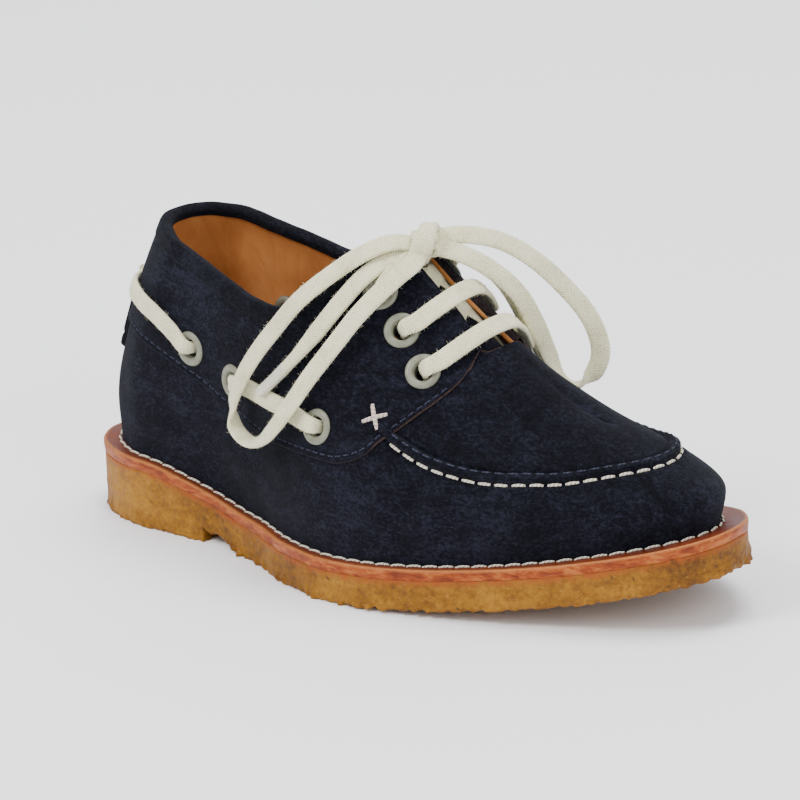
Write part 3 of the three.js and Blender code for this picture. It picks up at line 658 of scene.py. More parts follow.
def aglet_film(name):
    n = Nodes(name)
    cloud = n.noise(500, 2, 0.5)
    colour = n.ramp(cloud, [(0.3, (0.5, 0.48, 0.38)), (0.7, (0.6, 0.58, 0.47))])
    return n.finish(colour, 0.25, n.bump(cloud, 0.05, 0.3), Coat_Weight=0.6, Coat_Roughness=0.15)


def floor_paint(name):
    n = Nodes(name)
    cloud = n.noise(3, 2, 0.5)
    colour = n.ramp(cloud, [(0.3, (0.94, 0.94, 0.945)), (0.7, (0.96, 0.96, 0.965))])
    return n.finish(colour, 0.85)


# ----------------------------------------------------- camera, light and the floor

AZIMUTH, ELEVATION, ROLL = (math.radians(a) for a in (41, 18, -3))
DISTANCE = 1.83
LENS, SENSOR, CLIP_END = 318.0, 36, 50
AIM_LOW = 0.002              # the camera looks this far below the box's middle
LIGHTS = {                   # place, size and power, in metres and watts
    "key": ((-0.35, -0.95, 1.15), 0.6, 17),
    "fill": ((1.1, -0.5, 0.7), 0.9, 8),
    "top": ((0.1, 0.25, 1.3), 0.8, 14),
    "back": ((-0.7, 0.9, 0.8), 0.6, 4),
}
LIT = np.array([0, 0, 0.03])                 # where they all point
SKY, SKY_STRENGTH = (0.92, 0.94, 1, 1), 0.95
FLOOR_HALF = 6.0


def camera():
    data = bpy.data.cameras.new("camera")
    data.lens = LENS
    data.sensor_width = SENSOR
    data.clip_end = CLIP_END
    low, high = (np.array(c) for c in CAD_BOX)
    target = (low + high) / 2 + np.array([0.0, 0.0, -AIM_LOW])
    sa, ca, se, ce = (math.sin(AZIMUTH), math.cos(AZIMUTH), math.sin(ELEVATION), math.cos(ELEVATION))
    back = np.array([sa * ce, -ca * ce, se])
    right, up = np.array([ca, sa, 0.0]), np.array([-sa * se, ca * se, ce])
    right, up = (right * math.cos(ROLL) + up * math.sin(ROLL),
                 up * math.cos(ROLL) - right * math.sin(ROLL))
    eye = bpy.data.objects.new("camera", data)
    place = np.eye(4)
    for k, column_of in enumerate((right, up, back, target + back * DISTANCE)):
        place[:3, k] = column_of
    eye.matrix_world = Matrix(place.tolist())
    bpy.context.scene.collection.objects.link(eye)
    bpy.context.scene.camera = eye


def light(name, place, size, power):
    data = bpy.data.lights.new(name, "AREA")
    data.shape, data.size, data.energy = "DISK", size, power
    lamp = bpy.data.objects.new(name, data)
    back = unit(np.array(place) - LIT)
    right = unit(np.cross([0, 0, 1], back))
    m = np.eye(4)
    m[:3, 0], m[:3, 1], m[:3, 2], m[:3, 3] = right, np.cross(back, right), back, place
    lamp.matrix_world = Matrix(m.tolist())
    bpy.context.scene.collection.objects.link(lamp)


def studio():
    """Four lamps, an even sky and the floor."""
    for name, (place, size, power) in LIGHTS.items():
        light(name, place, size, power)
    world = bpy.data.worlds.new("studio")
    world.use_nodes = True
    sky = world.node_tree.nodes["Background"].inputs
    sky["Color"].default_value = SKY
    sky["Strength"].default_value = SKY_STRENGTH
    bpy.context.scene.world = world
    side = FLOOR_HALF
    mesh = bpy.data.meshes.new("floor")
    mesh.from_pydata([(-side, -side, 0), (side, -side, 0), (side, side, 0), (-side, side, 0)], [],
                     [(0, 1, 2, 3)])
    mesh.materials.append(floor_paint("floor_paint"))
    floor = bpy.data.objects.new("floor", mesh)
    bpy.context.scene.collection.objects.link(floor)


# --------------------------------------------------------------------- the lace


LACE_STEP = 0.6              # between the lace's rings, in millimetres
LACE_SIDES = 20
FIBRES = []                  # the short loose fibres of each lace, gathered as it is made
FIBRES_PER_RING = 8
SPIKE = ((2, 1, 0), (0, 1, 4, 3), (1, 2, 5, 4), (2, 0, 3, 5), (3, 4, 6), (4, 5, 6), (5, 3, 6))
SPIKE_WIDE = 0.022
TUCK = 0.35                  # how near the knot's middle a strand ends, of its way out


def spline(points):
    """A smooth line through points, evenly stepped."""
    p = np.asarray(points, float)
    gaps = np.linalg.norm(np.diff(p, axis=0), axis=1) ** 0.5
    knots = np.concatenate([[0], np.cumsum(gaps)])
    tangent = np.zeros_like(p)
    for i in range(1, len(p) - 1):
        a, b = knots[i] - knots[i - 1], knots[i + 1] - knots[i]
        tangent[i] = ((p[i] - p[i - 1]) / a * b + (p[i + 1] - p[i]) / b * a) / (a + b)
    tangent[0] = (p[1] - p[0]) / gaps[0]
    tangent[-1] = (p[-1] - p[-2]) / gaps[-1]
    fine = []
    for i in range(len(p) - 1):
        t = np.linspace(0, 1, 24, endpoint=False)[:, None]
        fine.append(hermite(p[i], tangent[i] * gaps[i], p[i + 1], tangent[i + 1] * gaps[i], t))
    fine = np.concatenate(fine + [p[-1:]])
    run = run_along(fine)
    at = np.linspace(0, run[-1], max(int(run[-1] / LACE_STEP), 4))
    return sampled(at, run, fine), at


def ribbon(name, points, across_hint, material, wide=None, thick=None, hairy=True):
    """A flat woven lace along points. across_hint gives the direction of its width at
    each given point; wide and thick its size there."""
    p, at = spline(points)
    share = at / at[-1]
    given = run_along(np.asarray(points, float))
    given /= given[-1]
    hint = sampled(share, given, np.asarray(across_hint, float))
    along = unit(np.gradient(p, axis=0))
    across = unit(hint - along * np.sum(hint * along, -1, keepdims=True))
    for _ in range(6):
        across[1:-1] = unit((across[:-2] + 2 * across[1:-1] + across[2:]) / 4)
    across = unit(across - along * np.sum(across * along, -1, keepdims=True))
    out = np.cross(along, across)
    wide = np.interp(share, given, wide) if wide is not None else np.full(len(p), LACE_WIDE)
    thick = np.interp(share, given, thick) if thick is not None else np.full(len(p), LACE_THICK)
    angle = np.linspace(0, 2 * np.pi, LACE_SIDES, endpoint=False)
    ca, sa = np.cos(angle), np.sin(angle)
    a = np.sign(ca) * np.abs(ca) ** 0.7
    b = np.sign(sa) * np.abs(sa) ** 0.75
    groove = 1 - 0.16 * np.exp(-(a / 0.16) ** 2)
    rings = (p[:, None, :] + across[:, None, :] * (a[None, :, None] * wide[:, None, None] / 2)
             + out[:, None, :] * ((b * groove)[None, :, None] * thick[:, None, None] / 2))
    ends = [p[k] + (rings[k] - p[k]) * 0.55 + along[k] * out_of_it * 0.45
            for k, out_of_it in ((0, -1), (-1, 1))]
    rings = np.concatenate([ends[:1], rings, ends[1:]])
    faces = [*grid_faces(len(rings), LACE_SIDES, wrap_cols=True)[:, ::-1], range(LACE_SIDES)]
    faces.append(reversed(range(rings.size // 3 - LACE_SIDES, rings.size // 3)))
    attributes = {
        "along": np.repeat([at[0], *at, at[-1]], LACE_SIDES),
        "across": np.tile(a * LACE_WIDE / 2, len(rings)),
    }
    if hairy:
        FIBRES.append(fibres(rings[1:-1], p, len(FIBRES)))
    return make(name, rings, faces, material, attributes), p, at[-1]


def fibres(rings, middle_line, seed):
    """Fine closed spikes that stand off a lace, each of seven points."""
    rng = np.random.default_rng(seed)
    count = len(rings) * FIBRES_PER_RING
    i, j = rng.integers(0, len(rings), count), rng.integers(0, rings.shape[1], count)
    out = unit(rings[i, j] - middle_line[i])
    lean = unit(out + rng.normal(0, 0.65, (count, 3)))
    curl = unit(lean + rng.normal(0, 0.7, (count, 3)))
    long = rng.uniform(0.25, 0.75, (count, 1)) ** 1.4
    u = unit(np.cross(lean, rng.normal(0, 1, (count, 3))))
    v = np.cross(lean, u)
    foot = rings[i, j] - out * 0.05
    knee = foot + lean * long
    turns = [(math.cos(a) * SPIKE_WIDE, math.sin(a) * SPIKE_WIDE) for a in (0, 2.1, 4.2)]
    points = [end + u * c + v * s for end in (foot, knee) for c, s in turns]
    return np.stack(points + [knee + curl * long * 0.8], 1)


def lace_fuzz(name, sets, material):
    """One piece of the fibres of some laces."""
    points = np.concatenate(sets)
    faces = [[b + k for k in face] for b in np.arange(len(points)) * 7 for face in SPIKE]
    piece = make(name, points.reshape(-1, 3), faces, material)
    return settle(piece, "lace_cotton")


def fold_hints(points, flat, upright, fold, reach):
    """Width directions for a loop: in its own plane along its strands, and square to
    the plane at its fold, so that the lace turns over there instead of kinking."""
    p = np.asarray(points, float)
    along = unit(np.gradient(p, axis=0))
    hints = []
    for i, t in enumerate(along):
        lying = unit(np.cross(flat[i], t))
        turn = math.exp(-((i - fold) / reach) ** 2)
        if i > fold:
            lying = -lying
        hints.append(lying * (1 - turn) + np.asarray(upright[i]) * turn)
    return np.array(hints)


def surface_normals(points):
    """The form's outward direction near each point, for lace that lies over it."""
    s, level = np.meshgrid(np.arange(0, AROUND, 0.25), np.linspace(0.2, 3, 40), indexing="ij")
    p, n = form(s, level).reshape(-1, 3), normal(s, level).reshape(-1, 3)
    return np.array([n[np.argmin(((p - q) ** 2).sum(1))] for q in np.asarray(points, float)])


def row(points):
    return ((np.asarray(points, float) + SHIFT) * MM).tolist()


def free_cord(name, points, hints, far_end, material, node, tip=None, **sizes):
    """A piece of the bow, which runs on from the part's route into the knot."""
    tuck = lambda point: KNOT + (np.array(point) - KNOT) * TUCK
    points, hints = [tuck(points[0]), *points], [hints[0], *hints]
    if far_end == "knot":
        points.append(tuck(points[-1]))
        hints.append(hints[-1])
    sizes = {key: [value[0], *value] for key, value in sizes.items()}
    piece, path, length = ribbon(name, points, hints, material, **sizes)
    on_it = [lace_fuzz(name + "_fibres", [FIBRES.pop()], material)]
    if tip:
        on_it.append(tip)
    row(points[0])
    row(path)
    return settle(piece, "lace_cotton", node)


def bow(material, film):
    """The two loops, and the two ends with their film tips."""
    n = surface_normals(LOOP_LATERAL)
    hints = fold_hints(LOOP_LATERAL, n, n, 8.6, 1.3)
    free_cord("loop_lateral", LOOP_LATERAL, hints, "knot", material, "lace_loop_lateral")
    p = np.asarray(LOOP_MEDIAL, float)
    centre = p.mean(0)
    plane = np.linalg.svd(p - centre)[2][2]
    plane = plane if plane[1] > 0 else -plane
    flat = np.repeat(unit(np.array([0.45, -0.55, 0.65]))[None, :], len(p), 0)
    hints = fold_hints(LOOP_MEDIAL, flat, np.repeat(plane[None, :], len(p), 0), 9.3, 1.4)
    free_cord("loop_medial", LOOP_MEDIAL, hints, "knot", material, "lace_loop_medial")
    for name, points, node in (("end_lateral", END_LATERAL, "lace_end_lateral"),
                               ("end_medial", END_MEDIAL, "lace_end_medial")):
        n = surface_normals(points)
        t = unit(np.gradient(np.asarray(points, float), axis=0))
        wide = [LACE_WIDE] * (len(points) - 3) + [3.3, 2.8, 2.7]
        thick = [LACE_THICK] * (len(points) - 3) + [2.1, 2.2, 2.2]
        tip = [np.asarray(p, float) for p in points[-3:]]
        tip[0] = tip[0] * 0.55 + tip[1] * 0.45
        sleeve, _, _ = ribbon(name + "_aglet", tip, np.cross(n, t)[-3:], film,
                              wide=[3.15, 3.05, 2.95], thick=[2.5] * 3, hairy=False)
        settle(sleeve, "lace_cotton")
        free_cord(name, points, np.cross(n, t), "bare", material, node, sleeve, wide=wide, thick=thick)


def knot(material):
    """A turn of lace wrapped round the bow's strands, over the bundle that it holds."""
    axis = unit(np.array([0.72, 0.69, -0.05]))
    up = unit(np.array([0.1, -0.1, 1.0]) - axis * np.dot(axis, [0.1, -0.1, 1.0]))
    side = np.cross(up, axis)
    angle = np.linspace(0, 2 * np.pi, 29)
    over = np.abs(np.cos(angle))
    ring = (KNOT + np.outer(np.cos(angle), side) * 3.6 + np.outer(np.sin(angle), up) * 4.4
            + np.outer(1.5 * np.sin(angle + 0.7), axis) + up * 0.2)
    wrap, _, _ = ribbon("knot_wrap", ring, np.repeat(axis[None, :], 29, 0), material,
                        wide=4.3 + 1.7 * over, thick=2.9 - 0.7 * over)
    settle(wrap, "lace_cotton", "lace_knot")
    for k, (lift, wide) in enumerate(((2.2, 5.0), (0.1, 5.6), (-2.1, 5.0))):
        line = [KNOT + axis * t + up * lift for t in (-3, 0, 3)]
        strand, _, _ = ribbon(f"knot_core_{k}", line, np.repeat(side[None, :], 3, 0), material,
                              wide=[wide] * 3, thick=[2.2] * 3)
        settle(strand, "lace_cotton")


def through(spot, toward):
    """Points that bring a lace up through an eyelet and over its edge."""
    base, n = spot["place"], spot["facing"]
    lean = unit(toward - n * np.dot(toward, n))
    return [base - n * 3.4, base + n * 0.4 + lean * 0.2, base + n * 2.3 + lean * 1.1]


def laid_lace(name, start, end, between, material, node):
    """A lace from one eyelet to another over points on the form."""
    first, last = between[0] - start["place"], between[-1] - end["place"]
    head, tail = through(start, first), through(end, last)
    points = np.array(head + list(between) + tail[::-1])
    n = surface_normals(points)
    n[:3], n[-3:] = start["facing"], end["facing"]
    along = unit(np.gradient(points, axis=0))
    hints = np.cross(n, along)
    hints[:3], hints[-3:] = hints[3], hints[-4]
    wide = THROUGH_WIDE + [LACE_WIDE] * len(between) + THROUGH_WIDE[::-1]
    thick = THROUGH_THICK + [LACE_THICK] * len(between) + THROUGH_THICK[::-1]
    piece, _, _ = ribbon(name, points, hints, material, wide=wide, thick=thick)
    return settle(piece, "lace_cotton", node)


def spot_named(name):
    return next(spot for spot in EYELET_SPOTS if spot["name"] == name)


def across_instep(x, side, away, distance):
    """Points off the form at x, a distance from the middle line in plan."""
    x, side, away = np.broadcast_arrays(*(np.asarray(v, float) for v in (x, side, away)))
    low, high = np.full(x.shape, 1.2), np.full(x.shape, 3.0)
    for _ in range(HALVINGS):
        level = (low + high) / 2
        s = row_at(side, level, x)
        beyond = side * (form(s, level)[..., 1] - middle(x)) > away
        low, high = np.where(beyond, level, low), np.where(beyond, high, level)
    return off_form(s, level, np.broadcast_to(distance, x.shape))


def row_at(side, level, x):
    """s of the form's points with that x, at a level on one side."""
    low, high = np.full(x.shape, 2.0), np.full(x.shape, float(ROWS))
    for _ in range(HALVINGS):
        t = (low + high) / 2
        s = np.where(side < 0, t, AROUND - t)
        behind = form(s, level)[..., 0] < x
        low, high = np.where(behind, t, low), np.where(behind, high, t)
    return s


def under_crossings(material):
    """Inside the throat the lace crosses from each row of eyelets up to the next."""
    for low_row, high_row in (("low", "mid"), ("mid", "top")):
        for side in (-1, 1):
            x0, x1 = FACING_EYELETS[low_row][0], FACING_EYELETS[high_row][0]
            shares = np.linspace(0, 1, 9)
            y = side * 13 * (1 - 2 * shares)
            points = across_instep(x0 + (x1 - x0) * shares + 3.5, np.where(y < 0, -1, 1),
                                   np.maximum(np.abs(y), 2 * SLIT), -3.0 - 0.25 * side)
            hints = np.repeat([[1.0, 0, -0.9]], 9, 0)
            name = f"crossing_{low_row}_{'outer' if side < 0 else 'inner'}"
            piece, _, _ = ribbon(name, points, hints, material, thick=[0.9] * 9)
            settle(piece, "lace_cotton")


def lacing(material):
    """The bars over the throat, the laces along the sides and the heel, and the ties."""
    for row_name, middle_x in BARS.items():
        x, _ = FACING_EYELETS[row_name]
        start, end = (spot_named(f"eyelet_facing_{row_name}_{k}") for k in ("lateral", "medial"))
        half = abs(start["place"][1] - float(middle(x))) + 1
        shares = np.array([-0.78, -0.6, -0.4, -0.2, 0, 0.2, 0.4, 0.6, 0.78])
        points = across_instep(middle_x + (x - middle_x) * shares ** 2, np.where(shares < 0, -1, 1),
                               np.maximum(np.abs(shares) * half, 2 * SLIT), 3.1 - 0.5 * shares ** 2)
        laid_lace(f"bar_{row_name}", start, end, points, material, f"lace_bar_{row_name}")
    for side, word in SIDES:
        start, end = (spot_named(f"eyelet_side_{k}_{word}") for k in ("middle", "front"))
        points = [off_form(*find_on_form(side, x, z), 2.1) for x, z in SIDE_LACE]
        laid_lace(f"side_lace_{word}", start, end, points, material, f"lace_side_{word}")
    points = [off_form(*find_on_form(-1, x, z), 2.2) for x, z in HEEL_LACE]
    level = first_level(np.array([0.0]), lambda p: p[..., 2] >= HEEL_LACE_BACK, 1, 2)[0]
    points.append(off_form(0.0, level, 2.3))
    points += [off_form(*find_on_form(1, x, z), 2.2) for x, z in reversed(HEEL_LACE)]
    laid_lace("heel_lace", spot_named("eyelet_side_rear_lateral"),
              spot_named("eyelet_side_rear_medial"), points, material, "lace_heel")
    for side, word in SIDES:
        spot = spot_named(f"eyelet_facing_top_{word}")
        aim = KNOT + np.array([0, side * 3.0, -1.5])
        start = through(spot, aim - spot["place"])
        points = np.array(start + [start[-1] * 0.5 + aim * 0.5 + spot["facing"] * 1.2, aim])
        hints = np.cross(np.repeat(spot["facing"][None, :], 5, 0), unit(np.gradient(points, axis=0)))
        hints[:3] = hints[3]
        piece, _, _ = ribbon(f"tie_{word}", points, hints, material,
                             wide=THROUGH_WIDE + [5, 5], thick=THROUGH_THICK + [1.7, 1.7])
        settle(piece, "lace_cotton")


# -------------------------------------------------------------------- the eyelets


def eyelet_spots():
    """The form's place and direction at each of the twelve eyelets."""
    spots = []
    for kind, table in (("facing", FACING_EYELETS), ("side", SIDE_EYELETS)):
        for row_name, (x, z) in table.items():
            for side, word in SIDES:
                s, level = find_on_form(side, x, z)
                spots.append({"name": f"eyelet_{kind}_{row_name}_{word}",
                              "place": form(s, level), "facing": normal(s, level)})
    return spots


def eyelet(spot, material):
    """A rolled enamel ring: domed flange, throat and a clenched back."""
    flange, barrel, bore = (EYELET[key] for key in ("flange", "barrel", "bore"))
    dome = [(math.cos(a), math.sin(a)) for a in np.linspace(0, math.pi, 9)]
    open_r = bore + 0.55
    middle_r, half_r = (flange + open_r) / 2, (flange - open_r) / 2
    # radius, height along its axis, and how far inside the hole it is, which sets the painted shade
    # there and the roughness
    profile = [(middle_r + half_r * c, 1.0 + 0.75 * s, 0) for c, s in dome]
    profile += [(open_r - 0.05, 0.5, 0.3), (bore + 0.2, -0.3, 0.8), (bore, -2.4, 1), (0.4, -2.6, 1),
                (0.4, -2.9, 1), (bore, -3.0, 0.9), (barrel + 0.7, -3.2, 0.1), (barrel + 1.6, -2.9, 0),
                (barrel + 1.9, -2.3, 0), (barrel, -2.2, 0), (barrel, 0.6, 0), (flange - 0.3, 0.8, 0)]
    n = spot["facing"]
    u = unit(np.cross(n, [0.2, 0.1, 1]))
    v = np.cross(n, u)
    turns = np.linspace(0, 2 * np.pi, EYELET["sides"], endpoint=False)
    rings = np.array([[spot["place"] + (u * math.cos(a) + v * math.sin(a)) * r + n * h
                       for a in turns] for r, h, _ in profile])
    # each point's share of the painted shade inside the hole
    painted_shade = np.repeat([d for _, _, d in profile], len(turns))
    faces = grid_faces(len(profile), len(turns), wrap_rows=True, wrap_cols=True)
    piece = make(spot["name"] + "_ring", rings, faces, material, {"painted_shade": painted_shade})
    return settle(piece, "eyelet_enamel", spot["name"])


# -------------------------------------------------------------------- the upper

# Creases in the side view: x and z of one end and of the other, depth (a ridge where it
# is negative), width, and the sides that they are drawn on.
CREASES = [
    ((127, 24), (136, 37), 0.55, 2.6, (-1, 1)),
    ((133, 22), (143, 35), -0.45, 3.0, (-1, 1)),
    ((140, 21), (151, 33), 0.35, 3.0, (-1,)),
    ((112, 22), (121, 36), 0.4, 3.2, (-1, 1)),
    ((84, 24), (60, 38), 0.45, 3.0, (-1,)),
    ((74, 20), (52, 33), -0.35, 3.4, (-1, 1)),
    ((46, 26), (30, 40), 0.4, 3.5, (-1, 1)),
    ((20, 28), (14, 46), 0.35, 3.5, (-1, 1)),
    ((96, 58), (104, 70), 0.3, 2.4, (-1, 1)),
    ((62, 58), (78, 64), 0.35, 2.6, (-1, 1)),
    ((34, 62), (52, 68), 0.3, 2.8, (-1, 1)),
    ((137, 52), (141, 40), 0.4, 2.2, (-1, 1)),
    ((147, 48), (151, 39), -0.3, 2.6, (-1, 1)),
]
MOC_STITCH = 4.6             # from one moccasin stitch to the next
MOC_STARTS = 119.0           # the seam fades in here
HOLE, LINING_HOLE = 3.0, 3.6                 # left open under an eyelet
CROWN = 2.999                # a column that reaches this level closes over the foot


def creased(p):
    """How far the creases move each point, along its normal."""
    x, y, z = p[..., 0], p[..., 1] - middle(p[..., 0]), p[..., 2]
    total = np.zeros(x.shape)
    for (x0, z0), (x1, z1), depth, width, sides in CREASES:
        dx, dz = x1 - x0, z1 - z0
        t = np.clip(((x - x0) * dx + (z - z0) * dz) / (dx * dx + dz * dz), 0, 1)
        away = np.hypot(x - x0 - t * dx, z - z0 - t * dz)
        fade = np.exp(-(away / width) ** 2) * (0.35 + 0.65 * np.sin(np.pi * np.clip(t, 0.05, 0.95)))
        for side in sides:
            total -= depth * fade * smooth(0, 3, side * y)
    slow = np.sin(x / 9.1 + z / 13) * np.sin(z / 7.7 - x / 17) + np.sin(x / 15.3 - z / 9.1 + y / 11)
    return total + 0.12 * slow


def around(low, high, spacing, crowd=()):
    """Values of s with about equal steps along the sole's edge, closer near crowd."""
    fine = np.linspace(low, high, 4000)
    p = sole_edge(fine)
    step = np.linalg.norm(np.diff(p, axis=0), axis=1)
    weight = np.ones(len(step))
    for x, reach, gain in crowd:
        weight += gain * np.exp(-((p[:-1, 0] - x) / reach) ** 2)
    run = np.concatenate([[0], np.cumsum(step * weight)])
    return np.interp(np.linspace(0, run[-1], int(run[-1] / spacing)), run, fine)


def arc_from(points, levels, zero):
    """Signed distance along each column from the level zero."""
    gap = np.linalg.norm(np.diff(points, axis=1), axis=2)
    run = np.concatenate([np.zeros((len(points), 1)), np.cumsum(gap, 1)], 1)
    zero = np.broadcast_to(zero, len(points))
    at_zero = np.array([np.interp(zero[i], levels[i], run[i]) for i in range(len(points))])
    return run - at_zero[:, None]


def moc_profile(w, along):
    """The moccasin seam: a stitched groove, the gathered ridge and the apron's edge."""
    ridge = 1.45 * smooth(0.25, 1.1, w) * (1 - smooth(2.7, 3.4, w))
    groove = -0.5 * np.exp(-(w / 0.5) ** 2) - 0.4 * np.exp(-((w - 3.6) / 0.4) ** 2)
    pull = 0.5 + 0.5 * np.cos(2 * np.pi * along / MOC_STITCH)
    below, above = 0.16 * np.exp(-((w + 1.1) / 1.3) ** 2), 0.13 * np.exp(-((w - 1.8) / 0.9) ** 2)
    return ridge + groove + pull * (below + above)


def vamp(material):
    """The suede of the upper, from the welt to the openings, with the moccasin ridge."""
    s = around(0, AROUND, SUEDE_STEP, [(134.5, 3, 1.2)])[:-1]
    top = first_level(s, over_collar)
    low_end, high_end = np.minimum(1.86, 0.86 * top), np.minimum(2.12, 0.95 * top)
    u = lambda k: np.linspace(0, 1, k, endpoint=False)[None, :]
    levels = np.concatenate([
        low_end[:, None] * u(46), low_end[:, None] + (high_end - low_end)[:, None] * u(30),
        high_end[:, None] + (top - high_end)[:, None] * np.linspace(0, 1, 30)[None, :]], 1)
    base, n = form(s[:, None], levels), normal(s[:, None], levels)
    w = arc_from(base, levels, MOC_LEVEL)
    there = smooth(MOC_STARTS - 4, MOC_STARTS, base[..., 0])
    run = run_along(form(s, MOC_LEVEL))[:, None]
    lift = creased(base) + there * moc_profile(w, run)
    points = base + n * lift[..., None]
    foot = points[:, :1] - np.array([0, 0, 0.5]) - n[:, :1] * 0.4
    seam = points[:, -1:].copy()
    closed = (top > CROWN)[:, None]
    seam[..., 1] = np.where(closed, middle(seam[..., 0]), seam[..., 1])
    points = np.concatenate([foot, points, seam], 1)
    faces = grid_faces(*points.shape[:2], wrap_rows=True)
    faces = without_eyelet_holes(points, faces, HOLE)
    edge = np.zeros(points.shape[:2])
    edge[:, -2:] = np.where(closed, 0, 0.6)
    piece = make("upper_suede", points, faces, material, {"edge": edge})
    return settle(piece, "suede", "upper")


def lining(material):
    """The leather inside, up to the openings and over the cut edge."""
    s = around(0, AROUND, LINING_STEP, [(134.5, 3, 1.5)])[:-1]
    top = first_level(s, over_collar)
    levels = top[:, None] * np.linspace(0.05, 1, 60)[None, :]
    base, n = form(s[:, None], levels), normal(s[:, None], levels)
    x, z = base[..., 0], base[..., 2]
    wave = 0.3 * np.sin(z / 2.6 + np.sin(x / 9) * 2) * np.sin(x / 11 + 1) * smooth(30, 50, z)
    points = base - n * (WALL - 0.1 + wave * 0.5)[..., None]
    closed = (top > CROWN)[:, None]
    lip = base[:, -1:] - n[:, -1:] * np.where(closed, WALL, 1.1)[..., None]
    lip[..., 1] = np.where(closed, middle(lip[..., 0]), lip[..., 1])
    points = np.concatenate([points, lip], 1)
    faces = grid_faces(*points.shape[:2], wrap_rows=True)[:, ::-1]
    faces = without_eyelet_holes(points, faces, LINING_HOLE)
    return settle(make("lining", points, faces, material), "lining_leather")


def saddle(material):
    """The facing and collar band, one thin layer sewn over the upper."""
    front = [find_on_form(side, SADDLE_FRONT, 60)[0] for side in (-1, 1)]
    s = around(front[1] - AROUND, front[0], SUEDE_STEP, [(131, 5, 0.8)])
    top = first_level(s, over_collar)
    low = np.minimum(first_level(s, in_saddle, 0.2), top - 0.02)
    v = np.concatenate([np.linspace(0, 0.03, 6, endpoint=False), np.linspace(0.03, 0.97, 74),
                        np.linspace(0.975, 1, 6)])
    levels = low[:, None] + (top - low)[:, None] * v[None, :]
    base, n = form(s[:, None], levels), normal(s[:, None], levels)
    run = arc_from(base, levels, low)
    length = run[:, -1:]
    front_gap = np.clip(SADDLE_FRONT - base[..., 0], 0, None)
    inside = np.minimum(np.minimum(run, front_gap), (length - run) * 1.5 + 0.35)
    rounded = rolled(inside, 0.75)
    channel = -0.3 * np.exp(-((run - 1.9) / 0.4) ** 2) * (front_gap > 2)
    points = base + n * (creased(base) + (SADDLE_UP + 0.1) * rounded - 0.1 + channel)[..., None]
    lip = base[:, -1:] - n[:, -1:] * 1.15
    points = np.concatenate([points, lip], 1)
    faces = grid_faces(*points.shape[:2])
    faces = without_eyelet_holes(points, faces, HOLE)
    cut = (1 - smooth(0.15, 0.5, inside)) * np.where(base[..., 0] > 118, 0.6, 0.15)
    edge = np.concatenate([cut, np.full((len(s), 1), 0.1)], 1)
    piece = make("saddle", points, faces, material, {"edge": edge})
    return settle(piece, "suede")


def binding(material):
    """A narrow suede fold over the collar's edge."""
    ends = [find_on_form(side, *BINDING_ENDS)[0] for side in (-1, 1)]
    s = around(ends[1] - AROUND, ends[0], SEAM_STEP)
    top = first_level(s, over_collar)
    base, n = form(s, top), normal(s, top)
    along = unit(np.gradient(base, axis=0))
    up = unit(np.cross(n, along))
    up *= np.sign(np.sum(up * unit(slopes(s, top)[1]), -1, keepdims=True))
    arc = [(-0.75 + 1.85 * math.cos(a), 0.95 * math.sin(a)) for a in np.linspace(0, math.pi, 13)]
    section = ([(0.8, -3.7), (1.02, -3.5), (1.14, -2.9), (1.12, -1.6)] + arc
               + [(-2.6, -0.6), (-2.6, -1.4), (-2.1, -1.7)])
    wave = 0.12 * np.sin(np.arange(len(s)) * 0.21) + 0.08 * np.sin(np.arange(len(s)) * 0.47)
    rings = np.array([base + n * a + up * b for a, b in section]).transpose(1, 0, 2)
    rings = rings + n[:, None, :] * (creased(base) * 0.5 + wave * 0.5)[:, None, None]
    faces = grid_faces(len(s), len(section), wrap_cols=True)
    piece = make("collar_binding", rings, faces, material)
    return settle(piece, "suede")


def tongue(material):
    """The suede tongue under the throat, a closed panel with rolled edges."""
    rows, columns = 70, 44
    x = np.linspace(TONGUE["from"], TONGUE["to"], rows)[:, None]
    share = np.linspace(-1, 1, columns)[None, :]
    near_side = np.minimum(1 - np.abs(share), 0.5) * TONGUE["half"]
    near_end = np.minimum(x - TONGUE["to"], 5) + 0 * share
    inside = np.minimum(near_side, near_end)
    rounded = rolled(inside, 1.0)
    sag = 0.35 * np.sin(x / 4.3 + share) * np.sin(share * 3.1 + x / 9) * (1 - np.abs(share))
    depth = WALL + TONGUE["under"]
    side = np.where(share < 0, -1.0, 1.0) + 0 * x
    away = np.maximum(np.abs(share) * TONGUE["half"], 0.45) + 0 * x
    shell = lambda sink: across_instep(x + 0 * share, side, away, -(depth + sink))
    outer = shell(1.0 - rounded + sag * 0.5)
    inner = shell(1.0 + rounded + sag * 0.5)
    points = np.concatenate([outer.reshape(-1, 3), inner.reshape(-1, 3)])
    count = rows * columns
    faces = [list(f) for f in grid_faces(rows, columns)]
    faces += [list(f[::-1] + count) for f in grid_faces(rows, columns)]
    ids = np.arange(count).reshape(rows, columns)
    border = [*ids[0], *ids[1:, -1], *ids[-1, -2::-1], *ids[-2:0:-1, 0]]
    faces += [[b, a, a + count, b + count] for a, b in zip(border, border[1:] + border[:1])]
    edge = np.tile((1 - smooth(0.1, 0.6, inside)).ravel(), 2)
    piece = make("tongue_suede", points, faces, material, {"edge": edge})
    return settle(piece, "suede", "tongue")


